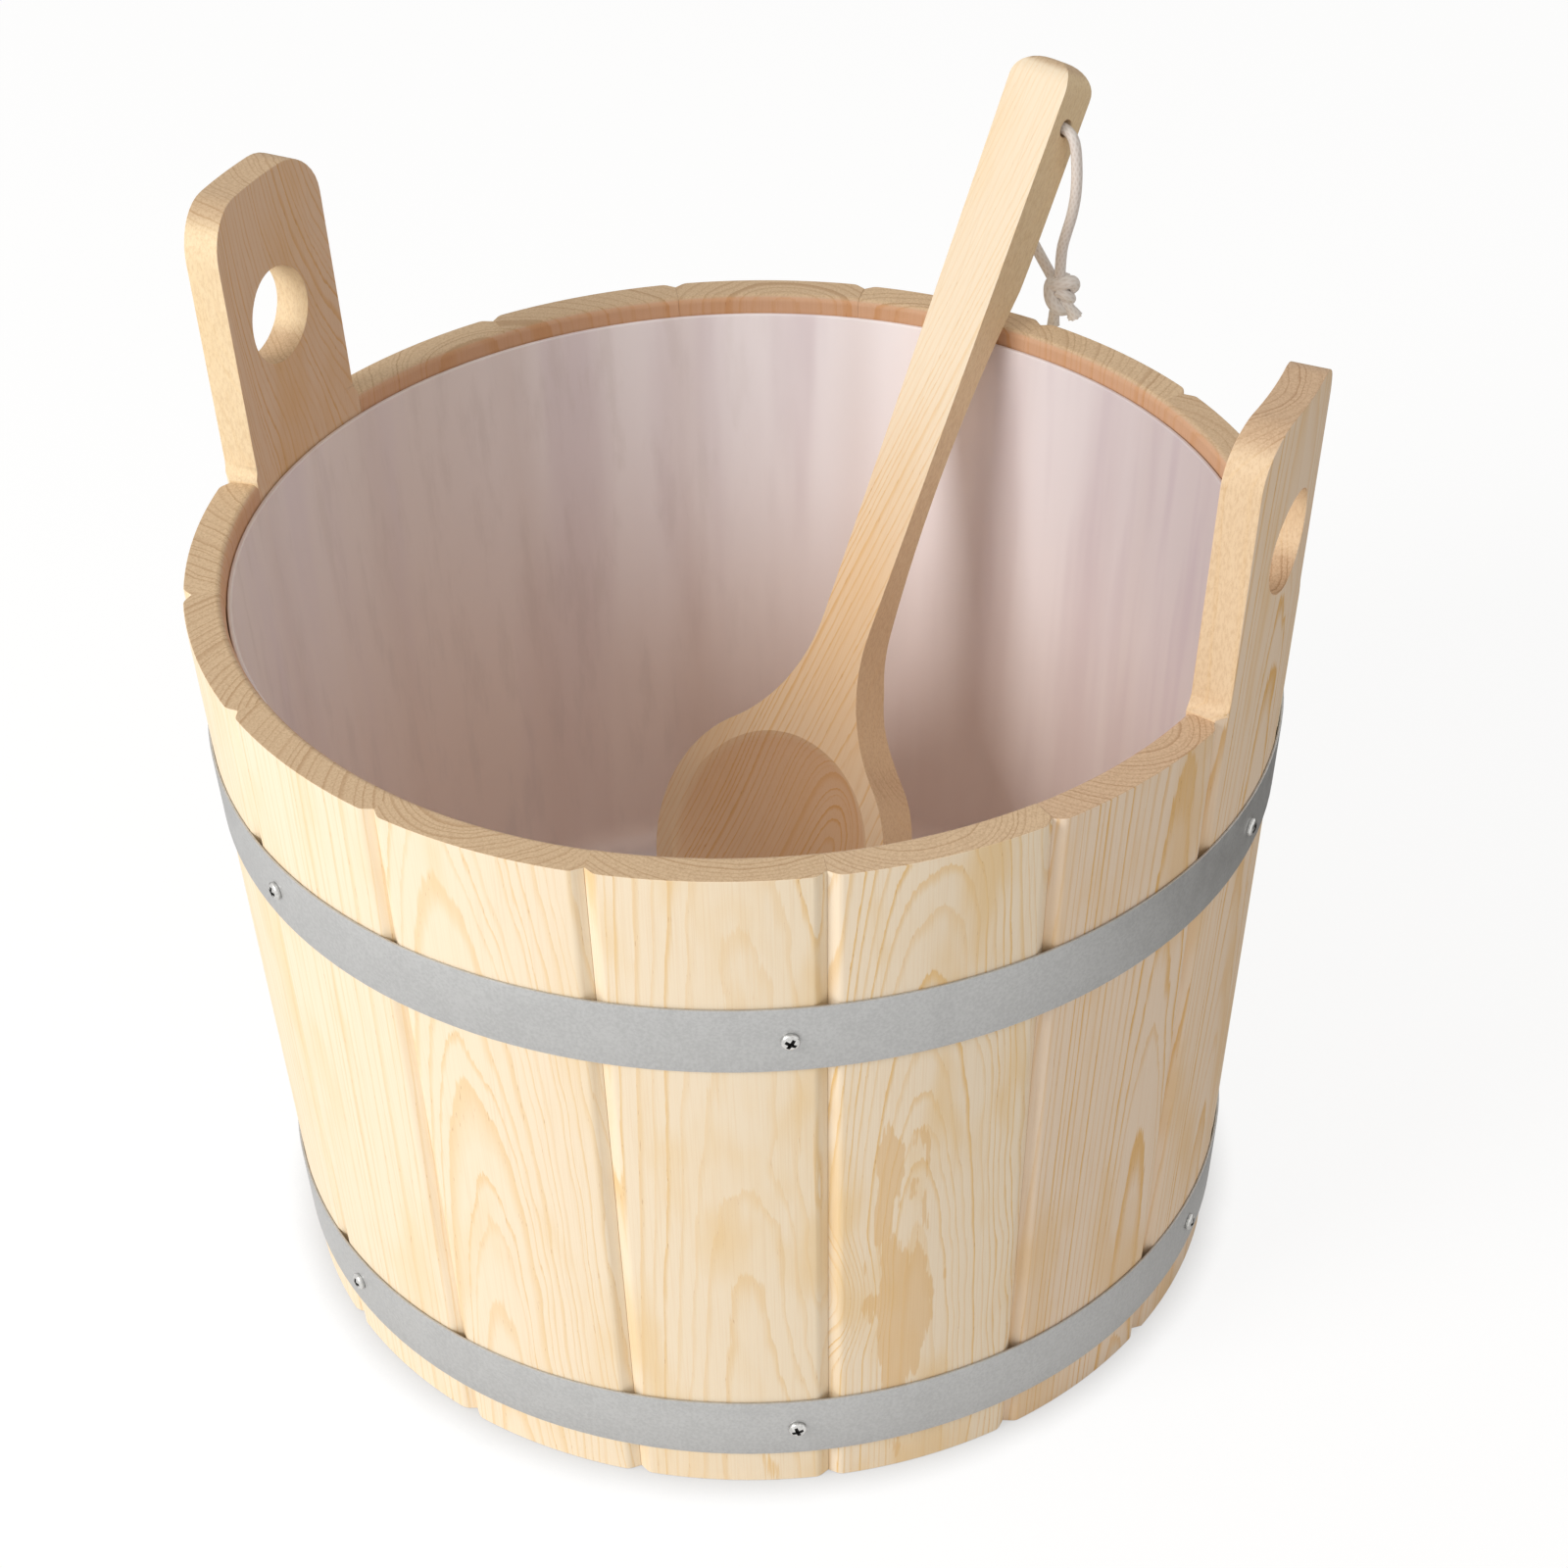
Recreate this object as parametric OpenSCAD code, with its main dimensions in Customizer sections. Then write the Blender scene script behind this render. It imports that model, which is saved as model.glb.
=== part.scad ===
// A coopered pine sauna bucket with two ear handles, a lift-out plastic insert and a wooden ladle.
// Millimetres. +Z is up, the ears stand on the X axis, and the origin is the centre of the foot.

/* [Bucket] */
// Outer radius at the rim
rim_r = 180; // [150:1:220]
// Outer radius at the foot
foot_r = 163; // [140:1:200]
// Height of the rim above the floor
rim_h = 265; // [220:1:330]
// Wall thickness of a stave, measured level
wall = 12.5; // [11:0.5:16]
// Round-over on the inner edge of the rim
rim_round = 2.5; // [1:0.5:4]
// Width of the V groove between two staves
groove_w = 7.5; // [4:0.5:9]
// Depth of the V groove between two staves
groove_d = 2.5; // [1.5:0.1:3]

/* [Ears] */
// Height of an ear above the rim
ear_h = 95; // [80:1:120]
// Width of an ear
ear_w = 62; // [54:0.5:62]
// Radius of an ear's top corners
ear_round = 17; // [8:1:24]
// Radius of the cove where an ear's side meets the rim
ear_cove = 5; // [3:0.5:8]
// Diameter of the finger hole
finger_d = 33; // [26:1:36]
// Height of the finger hole's centre above the rim
finger_up = 46; // [36:1:56]

/* [Bottom] */
// Height of the bottom's underside above the floor
chime_h = 20; // [14:1:30]
// Thickness of the bottom planks
plank_t = 16; // [12:1:20]
// Depth of the groove that holds the bottom
croze_d = 4; // [2.5:0.5:5]
// Gap between the bottom and its groove
croze_gap = 0.2; // [0.1:0.1:0.4]

/* [Hoops] */
// Width of the steel strip
strip_w = 25; // [18:1:32]
// Thickness of the steel strip
strip_t = 0.9; // [0.6:0.1:1.5]
// Gap between a hoop and the staves
hoop_gap = 0.1; // [0.05:0.05:0.2]
// Height of the upper hoop's middle
upper_hoop_z = 203; // [180:1:215]
// Height of the lower hoop's middle
lower_hoop_z = 27.5; // [22:0.5:60]
// Diameter of a screw's head
screw_head_d = 6; // [5:0.2:7]
// Height of a screw's head
screw_head_h = 2; // [1.4:0.1:2.6]
// Diameter of a screw's shank
screw_d = 3; // [2.4:0.1:3.6]
// Length of a screw's shank under the head
screw_l = 8; // [6:0.5:9]
// Gap around a screw's shank
screw_gap = 0.1; // [0.05:0.05:0.2]
// Width of the cross in a screw's head
cross_w = 1; // [0.8:0.1:1.4]
// Length of the cross in a screw's head
cross_l = 3.7; // [3:0.1:4.4]
// Depth of the cross in a screw's head
cross_d = 1.1; // [0.8:0.1:1.3]

/* [Insert] */
// Wall thickness of the insert
insert_t = 1.6; // [1.2:0.1:2.5]
// How far the insert's edge lies below the rim
insert_below = 6.5; // [4:0.5:20]
// Level gap between the insert and the staves
insert_gap = 0.7; // [0.4:0.1:1.5]
// Gap between the insert and the bottom planks
insert_lift = 0.3; // [0.3:0.1:0.6]
// Outer radius of the insert's bottom corner
insert_corner = 12; // [6:1:20]

/* [Ladle] */
// Radius of the bowl
bowl_r = 51; // [44:0.5:56]
// Thickness of the bowl
bowl_t = 23.5; // [20:0.5:28]
// Rounding of the bowl's back edge
bowl_edge = 5; // [2:0.5:8]
// Radius of the hollow's mouth
hollow_r = 43.5; // [36:0.5:46]
// Depth of the hollow
hollow_d = 16; // [10:0.5:18]
// Length of the handle from the middle of the bowl
handle_l = 302; // [240:1:330]
// Width of the handle at the neck
neck_w = 21; // [18:0.5:24]
// Width of the handle at its end
end_w = 24.4; // [20:0.2:28]
// Thickness of the handle
handle_t = 17.5; // [15:0.5:20]
// Thickness left where the back of the neck is scooped
neck_t = 9.8; // [8:0.2:12]
// Radius of the scoop in the back of the neck
scoop_r = 375; // [320:5:450]
// Distance of the scoop's deepest point from the middle of the bowl
scoop_at = 148; // [135:1:155]
// Radius of the fillet from the bowl to the neck
neck_fillet = 66; // [50:1:90]
// Rounding of the handle's end, seen from the front
end_round = 9.5; // [4:0.5:10]
// Rounding of the handle's end, seen from the side
end_side_round = 8; // [3:0.5:8]
// Diameter of the cord hole
cord_hole_d = 6.4; // [5.4:0.2:8]
// Distance of the cord hole from the middle of the bowl
cord_hole_at = 281; // [225:1:310]
// How far the ladle leans back
ladle_lean = 29.3; // [20:0.1:32]
// How far the ladle tips to its side
ladle_roll = 1.8; // [0:0.1:5]
// How far the ladle is turned about the vertical
ladle_turn = -15.4; // [-25:0.1:0]
// Bearing of the place where the handle meets the rim
ladle_bearing = 89.5; // [70:0.1:100]
// Gap between the ladle and what it rests on
ladle_gap = 0.5; // [0.4:0.1:0.8]

/* [Cord] */
// Diameter of the hanging cord
cord_d = 4; // [3:0.2:4.6]
// Diameter of the knot
knot_d = 12; // [10:0.5:14]

/* [Hidden] */
$fn = 96;
stave_count = 16;
plank_count = 5;
screw_count = 6;
touch_steps = 8;
over = 1;

stave_angle = 360 / stave_count;
flare = atan((rim_r - foot_r) / rim_h);
slant = rim_h / cos(flare);
ear_top = rim_h + ear_h;
finger_z = rim_h + finger_up;

// Level outer radius of the staves at height z
function outer_r(z) = foot_r + z * tan(flare);
// Level inner radius of the staves at height z
function inner_r(z) = outer_r(z) - wall;

plank_top = chime_h + plank_t;
bottom_r = inner_r(chime_h) + croze_d;
plank_w = 2 * bottom_r / plank_count;

insert_floor = plank_top + insert_lift + insert_t;
insert_top = rim_h - insert_below;

function unit(v) = v / norm(v);
// Turns of a vector about the axes, by an angle
function about_x(v, a) = [v.x, v.y * cos(a) - v.z * sin(a), v.y * sin(a) + v.z * cos(a)];
function about_y(v, a) = [v.x * cos(a) + v.z * sin(a), v.y, v.z * cos(a) - v.x * sin(a)];
function about_z(v, a) = [v.x * cos(a) - v.y * sin(a), v.x * sin(a) + v.y * cos(a), v.z];
function ladle_turned(v) = about_z(about_y(about_x(v, -ladle_lean), ladle_roll), ladle_turn);

// The ladle's own directions: to its right side, to its back and along its handle
ladle_right = ladle_turned([1, 0, 0]);
ladle_back = ladle_turned([0, 1, 0]);
ladle_along = ladle_turned([0, 0, 1]);

// The bowl's back edge rests on the insert's floor, which sets the ladle's height
bowl_reach = (bowl_r - bowl_edge) * norm([ladle_right.z, ladle_along.z]) + bowl_edge
    - (bowl_t - bowl_edge) * ladle_back.z;
ladle_z = insert_floor + ladle_gap + bowl_reach;

// Where the neck's fillets start on the handle, and their tangent points on the bowl
neck_at = sqrt(pow(bowl_r + neck_fillet, 2) - pow(neck_w / 2 + neck_fillet, 2));
fillet_x = neck_w / 2 + neck_fillet;
tangent = [fillet_x, neck_at] * bowl_r / (bowl_r + neck_fillet);
hollow_ball_r = (pow(hollow_r, 2) + pow(hollow_d, 2)) / (2 * hollow_d);

// The handle at a distance from the middle of the bowl: half its width, and its scooped back's depth and slope
function handle_half_w(s) = neck_w / 2 + (end_w - neck_w) / 2 * (s - neck_at) / (handle_l - end_round - neck_at);
function scoop_rise(s) = sqrt(pow(scoop_r, 2) - pow(s - scoop_at, 2));
function handle_depth(s) = min(handle_t, neck_t + scoop_r - scoop_rise(s));
function handle_slope(s) = handle_depth(s) < handle_t ? (s - scoop_at) / scoop_rise(s) : 0;

// The left back edge of the handle leans on the rounded rim, which sets the ladle's place
lean_out = [cos(ladle_bearing), sin(ladle_bearing), 0];
// Level and upright parts of the direction in which that edge presses on the rim
function pressing(s) =
    let (edge = ladle_along + handle_slope(s) * ladle_back)
        unit([edge.z, -(edge * lean_out)]);
// Radius and height of the edge where it touches the rim
function touch_r(s) = inner_r(rim_h) + rim_round - (rim_round + ladle_gap) * pressing(s).x;
function touch_z(s) = rim_h - rim_round - (rim_round + ladle_gap) * pressing(s).y;
// From the middle of the bowl to the handle's left back edge
function back_edge(s) = s * ladle_along + handle_depth(s) * ladle_back - handle_half_w(s) * ladle_right;
// Each step slides along the handle by the height that the last step was off
function settled_touch(s, steps) =
    steps == 0 ? s : settled_touch(s + (touch_z(s) - ladle_z - back_edge(s).z) / ladle_along.z, steps - 1);
touch_at = settled_touch(scoop_at, touch_steps);
rim_touch = touch_r(touch_at) * lean_out + [0, 0, touch_z(touch_at)];
ladle_place = rim_touch - back_edge(touch_at);

// The cord's route on each side of the hole, from the middle of the hole
cord_hole = ladle_place + cord_hole_at * ladle_along + handle_t / 2 * ladle_back;
front_route = [
    [0, 0, 0], [5.8, -1.6, -0.2], [11, -3, -0.6], [14.4, -4, -2.6], [16, -4.4, -7], [16.7, -4.6, -14],
    [16.8, -4.6, -20], [16.4, -4.5, -26], [15.2, -4.2, -33], [13.3, -3.6, -40], [11.8, -3.2, -46],
    [11.2, -3, -52], [11, -3, -60]
];
back_route = [
    [0, 0, 0], [-5.8, 1.6, 0.2], [-11, 3, 0.4], [-14.4, 4, -1.6], [-15.8, 4.4, -6], [-15.6, 4.6, -13],
    [-14, 4.4, -22], [-10.6, 3.6, -31], [-6.6, 2.6, -39], [-2.4, 1.2, -47], [2.1, -0.2, -53],
    [5.8, -1.4, -57.5], [9, -2.4, -61.5]
];
knot_at = [11, -3, -65];
tail_gap = 0.6;
tail_apart = cord_d + tail_gap;
tail_end = -77;
cord_sides = 10;
// A level direction that no stretch of the cord follows, from which each ring's corners are counted
ring_start = [0.26, 0.96, 0];

right_ear = 0;
left_ear = stave_count / 2;
plain_staves = [for (k = [0 : stave_count - 1]) if (k != right_ear && k != left_ear) k];
function two_digits(n) = n < 10 ? str("0", n) : str(n);
function stave_name(k) = str("stave_", two_digits(k < left_ear ? k : k - 1));
function plank_name(k) = str("bottom_plank_", k);

// Section of the wall up to a height: radius along X, height along Y
module wall_section(top) {
    difference() {
        polygon([
            [inner_r(0), 0], [outer_r(0), 0], [outer_r(top), top], [inner_r(top), top]
        ]);
        translate([0, chime_h - croze_gap]) square([bottom_r + croze_gap, plank_t + 2 * croze_gap]);
    }
}

// Cuts the square inner corner of the rim back to a quarter round
module rim_round_section() {
    difference() {
        translate([inner_r(rim_h) - over, rim_h - rim_round]) square(rim_round + over);
        translate([inner_r(rim_h) + rim_round, rim_h - rim_round]) circle(rim_round);
        translate([inner_r(rim_h) + rim_round, rim_h - rim_round - over]) square(rim_round + 2 * over);
    }
}

// Sweeps a wall section over one stave's share of the circle, centred on the X axis
module stave_sweep() {
    rotate([0, 0, -stave_angle / 2]) rotate_extrude(angle = stave_angle) children();
}

// The V grooves along both edges of a stave, up to a length along the slope
module stave_grooves(length) {
    mouth = groove_w / 2 * (groove_d + over) / groove_d;
    for (side = [-1, 1])
        rotate([0, 0, side * stave_angle / 2])
            translate([foot_r, 0, 0]) rotate([0, flare, 0]) translate([0, 0, -wall])
                linear_extrude(length + wall)
                    polygon([[-groove_d, 0], [over, -mouth], [over, mouth]]);
}

// Something drawn along X from the outer face of the staves, at a bearing and a height
module on_wall(bearing, z) {
    rotate([0, 0, bearing]) translate([outer_r(z), 0, z]) rotate([0, flare, 0]) children();
}

// The pilot holes of the screws that fall within one stave's bearing
module pilot_holes(bearing) {
    for (s = [0 : screw_count - 1], z = [upper_hoop_z, lower_hoop_z]) {
        screw_bearing = s * 360 / screw_count;
        apart = abs((screw_bearing - bearing + 540) % 360 - 180);
        if (apart < stave_angle / 2)
            on_wall(screw_bearing, z) rotate([0, 90, 0])
                cylinder(d = screw_d + 2 * screw_gap, h = 2 * screw_l, center = true);
    }
}

module stave(k) {
    bearing = k * stave_angle;
    color("wheat") difference() {
        rotate([0, 0, bearing]) difference() {
            stave_sweep() difference() {
                wall_section(rim_h);
                rim_round_section();
            }
            stave_grooves(slant + wall);
        }
        pilot_holes(bearing);
    }
}

// Front view of an ear: width along X, height along Y, from below the rim to its rounded top
module ear_outline() {
    translate([-ear_w / 2, rim_h - over]) square([ear_w, ear_h + over - ear_round]);
    translate([-ear_w / 2 + ear_round, rim_h - over]) square([ear_w - 2 * ear_round, ear_h + over]);
    for (side = [-1, 1]) {
        translate([side * (ear_w / 2 - ear_round), ear_top - ear_round]) circle(ear_round);
        translate([side * ear_w / 2, rim_h]) difference() {
            translate([-ear_cove, -over]) square([2 * ear_cove, ear_cove + over]);
            translate([side * ear_cove, ear_cove]) circle(ear_cove);
        }
    }
}

module ear_stave(bearing) {
    color("wheat") difference() {
        rotate([0, 0, bearing]) difference() {
            union() {
                stave_sweep() wall_section(rim_h);
                intersection() {
                    stave_sweep() wall_section(ear_top);
                    rotate([90, 0, 90]) linear_extrude(2 * rim_r) ear_outline();
                }
            }
            stave_grooves(slant + ear_cove + wall);
            on_wall(0, finger_z) rotate([0, 90, 0]) cylinder(d = finger_d, h = 4 * wall, center = true);
        }
        pilot_holes(bearing);
    }
}

module bottom_plank(k) {
    color("burlywood") intersection() {
        translate([0, 0, chime_h]) cylinder(r = bottom_r, h = plank_t);
        translate([-bottom_r, -bottom_r + (k - 1) * plank_w, chime_h]) cube([2 * bottom_r, plank_w, plank_t]);
    }
}

module hoop(z) {
    low = z - strip_w / 2;
    high = z + strip_w / 2;
    color("darkgray") difference() {
        rotate_extrude() polygon([
            [outer_r(low) + hoop_gap, low], [outer_r(low) + hoop_gap + strip_t, low],
            [outer_r(high) + hoop_gap + strip_t, high], [outer_r(high) + hoop_gap, high]
        ]);
        for (s = [0 : screw_count - 1])
            on_wall(s * 360 / screw_count, z) rotate([0, 90, 0])
                cylinder(d = screw_d + 2 * screw_gap, h = 2 * screw_l, center = true);
    }
}

// A pan head screw along X, with the underside of its head at the origin
module screw() {
    head_r = screw_head_d / 2;
    dome_r = (pow(head_r, 2) + pow(screw_head_h, 2)) / (2 * screw_head_h);
    rotate([0, 90, 0]) {
        difference() {
            intersection() {
                cylinder(r = head_r, h = screw_head_h);
                translate([0, 0, screw_head_h - dome_r]) sphere(dome_r);
            }
            for (turn = [0, 90])
                rotate([0, 0, turn + 45]) translate([0, 0, screw_head_h])
                    cube([cross_l, cross_w, 2 * cross_d], center = true);
        }
        translate([0, 0, -screw_l]) cylinder(d = screw_d, h = screw_l + screw_gap);
    }
}

module hoop_screws(z) {
    head_seat = (hoop_gap + strip_t) * cos(flare) + screw_gap;
    color("silver")
        for (s = [0 : screw_count - 1])
            on_wall(s * 360 / screw_count, z) translate([head_seat, 0, 0]) screw();
}

// Outline of the insert's outer face, drawn in by a wall thickness for the inner face
module insert_section(inset, top) {
    floor_z = plank_top + insert_lift + inset;
    corner = insert_corner - inset;
    side_r = function(z) inner_r(z) - insert_gap - inset;
    corner_r = side_r(floor_z + corner) - corner;
    polygon([
        [0, floor_z + corner], [side_r(floor_z + corner), floor_z + corner], [side_r(top), top], [0, top]
    ]);
    translate([0, floor_z]) square([corner_r, 2 * corner]);
    translate([corner_r, floor_z + corner]) circle(corner);
}

module insert() {
    color("lavender") rotate_extrude() intersection() {
        difference() {
            insert_section(0, insert_top);
            insert_section(insert_t, insert_top + over);
        }
        square([rim_r, insert_top]);
    }
}

// Front view of the neck and handle: width along X, length along Y from the middle of the bowl
module handle_outline() {
    difference() {
        polygon([[-tangent.x, tangent.y], [tangent.x, tangent.y], [neck_w / 2, neck_at], [-neck_w / 2, neck_at]]);
        for (side = [-1, 1]) translate([side * fillet_x, neck_at]) circle(neck_fillet);
    }
    polygon([
        [-neck_w / 2, neck_at], [neck_w / 2, neck_at],
        [end_w / 2, handle_l - end_round], [-end_w / 2, handle_l - end_round]
    ]);
    for (side = [-1, 1])
        translate([side * (end_w / 2 - end_round), handle_l - end_round]) circle(end_round);
    translate([-end_w / 2 + end_round, handle_l - 2 * end_round])
        square([end_w - 2 * end_round, 2 * end_round]);
}

// Side view of the neck and handle: depth from the front along X, length along Y
module handle_profile() {
    end = handle_l - end_side_round;
    difference() {
        union() {
            square([bowl_t - bowl_edge, neck_at]);
            translate([0, neck_at - over]) square([handle_t, end - neck_at + over]);
            translate([end_side_round, end - over]) square([handle_t - 2 * end_side_round, end_side_round + over]);
            for (depth = [end_side_round, handle_t - end_side_round]) translate([depth, end]) circle(end_side_round);
        }
        translate([neck_t + scoop_r, scoop_at]) circle(scoop_r, $fn = 4 * $fn);
    }
}

// The ladle along +Z with its front face on the XZ plane, its back towards +Y and its bowl at the origin
module upright_ladle() {
    difference() {
        union() {
            rotate([-90, 0, 0]) rotate_extrude() {
                square([bowl_r, bowl_t - bowl_edge]);
                square([bowl_r - bowl_edge, bowl_t]);
                translate([bowl_r - bowl_edge, bowl_t - bowl_edge]) circle(bowl_edge);
            }
            intersection() {
                translate([0, bowl_t, 0]) rotate([90, 0, 0]) linear_extrude(bowl_t) handle_outline();
                translate([-bowl_r, 0, 0]) rotate([90, 0, 90]) linear_extrude(2 * bowl_r) handle_profile();
            }
        }
        translate([0, hollow_d - hollow_ball_r, 0]) sphere(hollow_ball_r);
        translate([0, handle_t / 2, cord_hole_at]) rotate([0, 90, 0])
            cylinder(d = cord_hole_d, h = 2 * end_w, center = true);
    }
}

module ladle() {
    color("tan") translate(ladle_place)
        rotate([0, 0, ladle_turn]) rotate([0, ladle_roll, 0]) rotate([-ladle_lean, 0, 0]) upright_ladle();
}

function heading(path, i) = unit(path[min(i + 1, len(path) - 1)] - path[max(i - 1, 0)]);

// A round tube along a path, with one ring of corners at each point
module tube(path, d) {
    rings = len(path);
    sides = cord_sides;
    corners = [
        for (i = [0 : rings - 1])
            let (t = heading(path, i), u = unit(cross(t, ring_start)), v = cross(t, u))
                for (j = [0 : sides - 1])
                    path[i] + d / 2 * (cos(360 * j / sides) * u + sin(360 * j / sides) * v)
    ];
    walls = [
        for (i = [0 : rings - 2], j = [0 : sides - 1])
            let (a = i * sides + j, b = i * sides + (j + 1) % sides)
                each [[a, b, b + sides], [a, b + sides, a + sides]]
    ];
    first = [for (j = [1 : sides - 2]) [0, j + 1, j]];
    end = (rings - 1) * sides;
    last = [for (j = [1 : sides - 2]) [end, end + j, end + j + 1]];
    polyhedron(corners, concat(walls, first, last));
}

module cord_strand(route) {
    color("ivory") translate(cord_hole) tube(route, cord_d);
}

// The knot as a ball with the two short tails that hang out of it
module cord_knot() {
    color("ivory") translate(cord_hole) {
        translate(knot_at) rotate([90, 0, 0]) sphere(d = knot_d);
        for (side = [-1, 1])
            translate([knot_at.x + side * tail_apart / 2, knot_at.y, tail_end])
                cylinder(d = cord_d, h = knot_at.z - tail_end);
    }
}

ear_stave(right_ear * stave_angle);  // ear_stave_right
ear_stave(left_ear * stave_angle);  // ear_stave_left
for (k = plain_staves) stave(k);
for (k = [1 : plank_count]) bottom_plank(k);
hoop(upper_hoop_z);  // upper_hoop
hoop(lower_hoop_z);  // lower_hoop
hoop_screws(upper_hoop_z);  // upper_hoop_screws
hoop_screws(lower_hoop_z);  // lower_hoop_screws
insert();
ladle();
cord_strand(front_route);  // cord_front_strand
cord_strand(back_route);  // cord_back_strand
cord_knot();
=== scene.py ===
# %% [markdown]
# # A coopered sauna bucket
# Sixteen pine boards stand in a ring, two steel strips hold them, a milky plastic insert keeps the water
# in and a wooden ladle leans against the rim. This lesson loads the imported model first. It is our drawing:
# every board, strip and screw is already in its place, in metres, so each piece that we model goes where
# the drawing says and nothing has to be fitted by eye.

# %% Load the drawing
import math
import random

import bmesh
import bpy
from mathutils import Matrix, Vector


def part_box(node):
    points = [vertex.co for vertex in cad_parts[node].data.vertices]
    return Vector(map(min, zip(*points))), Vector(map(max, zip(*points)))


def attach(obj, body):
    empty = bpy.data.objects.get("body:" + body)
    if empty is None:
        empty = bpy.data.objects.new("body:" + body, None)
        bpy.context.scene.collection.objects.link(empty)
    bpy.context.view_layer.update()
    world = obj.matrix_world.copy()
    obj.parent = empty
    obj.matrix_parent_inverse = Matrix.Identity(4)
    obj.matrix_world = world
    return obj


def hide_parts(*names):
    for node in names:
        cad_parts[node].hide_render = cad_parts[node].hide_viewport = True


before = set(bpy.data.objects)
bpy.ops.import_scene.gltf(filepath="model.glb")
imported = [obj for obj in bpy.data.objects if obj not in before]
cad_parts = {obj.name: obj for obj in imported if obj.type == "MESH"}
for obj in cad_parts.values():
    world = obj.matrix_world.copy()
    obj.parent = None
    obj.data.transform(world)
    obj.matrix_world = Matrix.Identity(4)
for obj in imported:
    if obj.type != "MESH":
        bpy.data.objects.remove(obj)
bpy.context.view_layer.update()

MM = 0.001

# %% [markdown]
# ## Camera
# The bucket is seen from the front, a little to its right and well above the rim, so that we look down
# into it. A longish lens keeps the sides from leaning apart. The turn, dip and roll are written as three
# plain angles, because they are easier to check against a picture than a rotation matrix is.

# %% Camera
camera_spot = Vector((0.422455, -0.834364, 0.851818))
camera_turn = math.radians(26.1254)
camera_dip = math.radians(36.2214)
camera_roll = math.radians(-1.38)
camera_lens = 77.94

camera_data = bpy.data.cameras.new("camera")
camera_data.lens = camera_lens
camera_data.sensor_width = 36.0
camera = bpy.data.objects.new("camera", camera_data)
bpy.context.scene.collection.objects.link(camera)
camera.matrix_world = (
    Matrix.Translation(camera_spot)
    @ Matrix.Rotation(camera_turn, 4, "Z")
    @ Matrix.Rotation(math.radians(90) - camera_dip, 4, "X")
    @ Matrix.Rotation(camera_roll, 4, "Z")
)
bpy.context.scene.camera = camera
bpy.context.scene.view_settings.view_transform = "Standard"
print("camera", [round(c, 3) for c in camera.location])

# %% [markdown]
# ## Small helpers for shading nodes
# Node trees get long when every node takes four lines. A few helpers keep them readable: one adds a node
# and fills its sockets, one does a sum, one mixes two colours, and others ease, stretch, scatter and bump.
# Colours are written as the 0 to 255 numbers that a paint program shows, and turned into the linear values
# that the renderer works with.


# %% Node helpers
def paint(red, green, blue):
    """A colour as a paint program shows it, as linear light with full opacity."""
    def linear(value):
        part = value / 255
        return part / 12.92 if part <= 0.04045 else ((part + 0.055) / 1.055) ** 2.4
    return (linear(red), linear(green), linear(blue), 1.0)


def fill(tree, socket, value):
    if isinstance(value, bpy.types.NodeSocket):
        tree.links.new(value, socket)
    else:
        socket.default_value = value


def add_node(tree, kind, settings=None, **sockets):
    node = tree.nodes.new(kind)
    for name, value in (settings or {}).items():
        setattr(node, name, value)
    for name, value in sockets.items():
        fill(tree, node.inputs[name.replace("_", " ")], value)
    return node


def calc(tree, operation, *values):
    node = add_node(tree, "ShaderNodeMath", {"operation": operation})
    for socket, value in zip(node.inputs, values):
        fill(tree, socket, value)
    return node.outputs[0]


def reach_of(tree, first, second):
    """The length of the slant that two steps at right angles make."""
    square = calc(tree, "MULTIPLY_ADD", first, first, calc(tree, "MULTIPLY", second, second))
    return calc(tree, "SQRT", square)


def mix_paint(tree, amount, first, second, blend="MIX"):
    node = add_node(tree, "ShaderNodeMix", {"data_type": "RGBA", "blend_type": blend})
    for index, value in zip((0, 6, 7), (amount, first, second)):
        fill(tree, node.inputs[index], value)
    return node.outputs[2]


def ease_between(tree, value, low, high, start=0.0, end=1.0):
    node = add_node(tree, "ShaderNodeMapRange", {"interpolation_type": "SMOOTHSTEP"})
    for socket, number in zip(node.inputs, (value, low, high, start, end)):
        fill(tree, socket, number)
    return node.outputs[0]


def stretch(tree, vector, factors):
    node = add_node(tree, "ShaderNodeVectorMath", {"operation": "MULTIPLY"})
    fill(tree, node.inputs[0], vector)
    node.inputs[1].default_value = factors
    return node.outputs[0]


def noise(tree, vector, detail=2.0, roughness=0.5):
    node = add_node(tree, "ShaderNodeTexNoise", Vector=vector, Scale=1.0, Detail=detail, Roughness=roughness)
    return node.outputs[0]


def new_finish(name):
    """A new named material, with its node tree and its main shader."""
    finish = bpy.data.materials.new(name)
    finish.use_nodes = True
    tree = finish.node_tree
    return finish, tree, tree.nodes["Principled BSDF"]


def bump(tree, height, strength, distance):
    node = add_node(tree, "ShaderNodeBump", Strength=strength, Distance=distance, Height=height)
    return node.outputs[0]


print("helpers ready")

# %% [markdown]
# ## Studio
# The bucket stands on a seamless white sweep that is lit until it is almost paper white, with only a
# breath of shadow where the staves meet it. A floor that glows for the camera, and for shiny metal, gives
# that without pouring more light on the wood. Close to the staves the glow sinks a little. In shiny metal
# the floor behind the bucket looks dark, so the hoops darken where they turn away from us. For every other
# ray it is an ordinary pale floor that throws light back up. One big soft lamp stands to the front left
# and above, and the sky fills the shadows.

# %% Floor
floor_half = 6.0
floor_drop = 0.05 * MM
corner_reach = 12 * MM
corner_glow = 0.42
open_glow = 0.87

# in shiny metal the floor darkens between these two places, from front to back
dark_from = -0.20
dark_to = 0.25
dark_amount = 0.95


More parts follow.
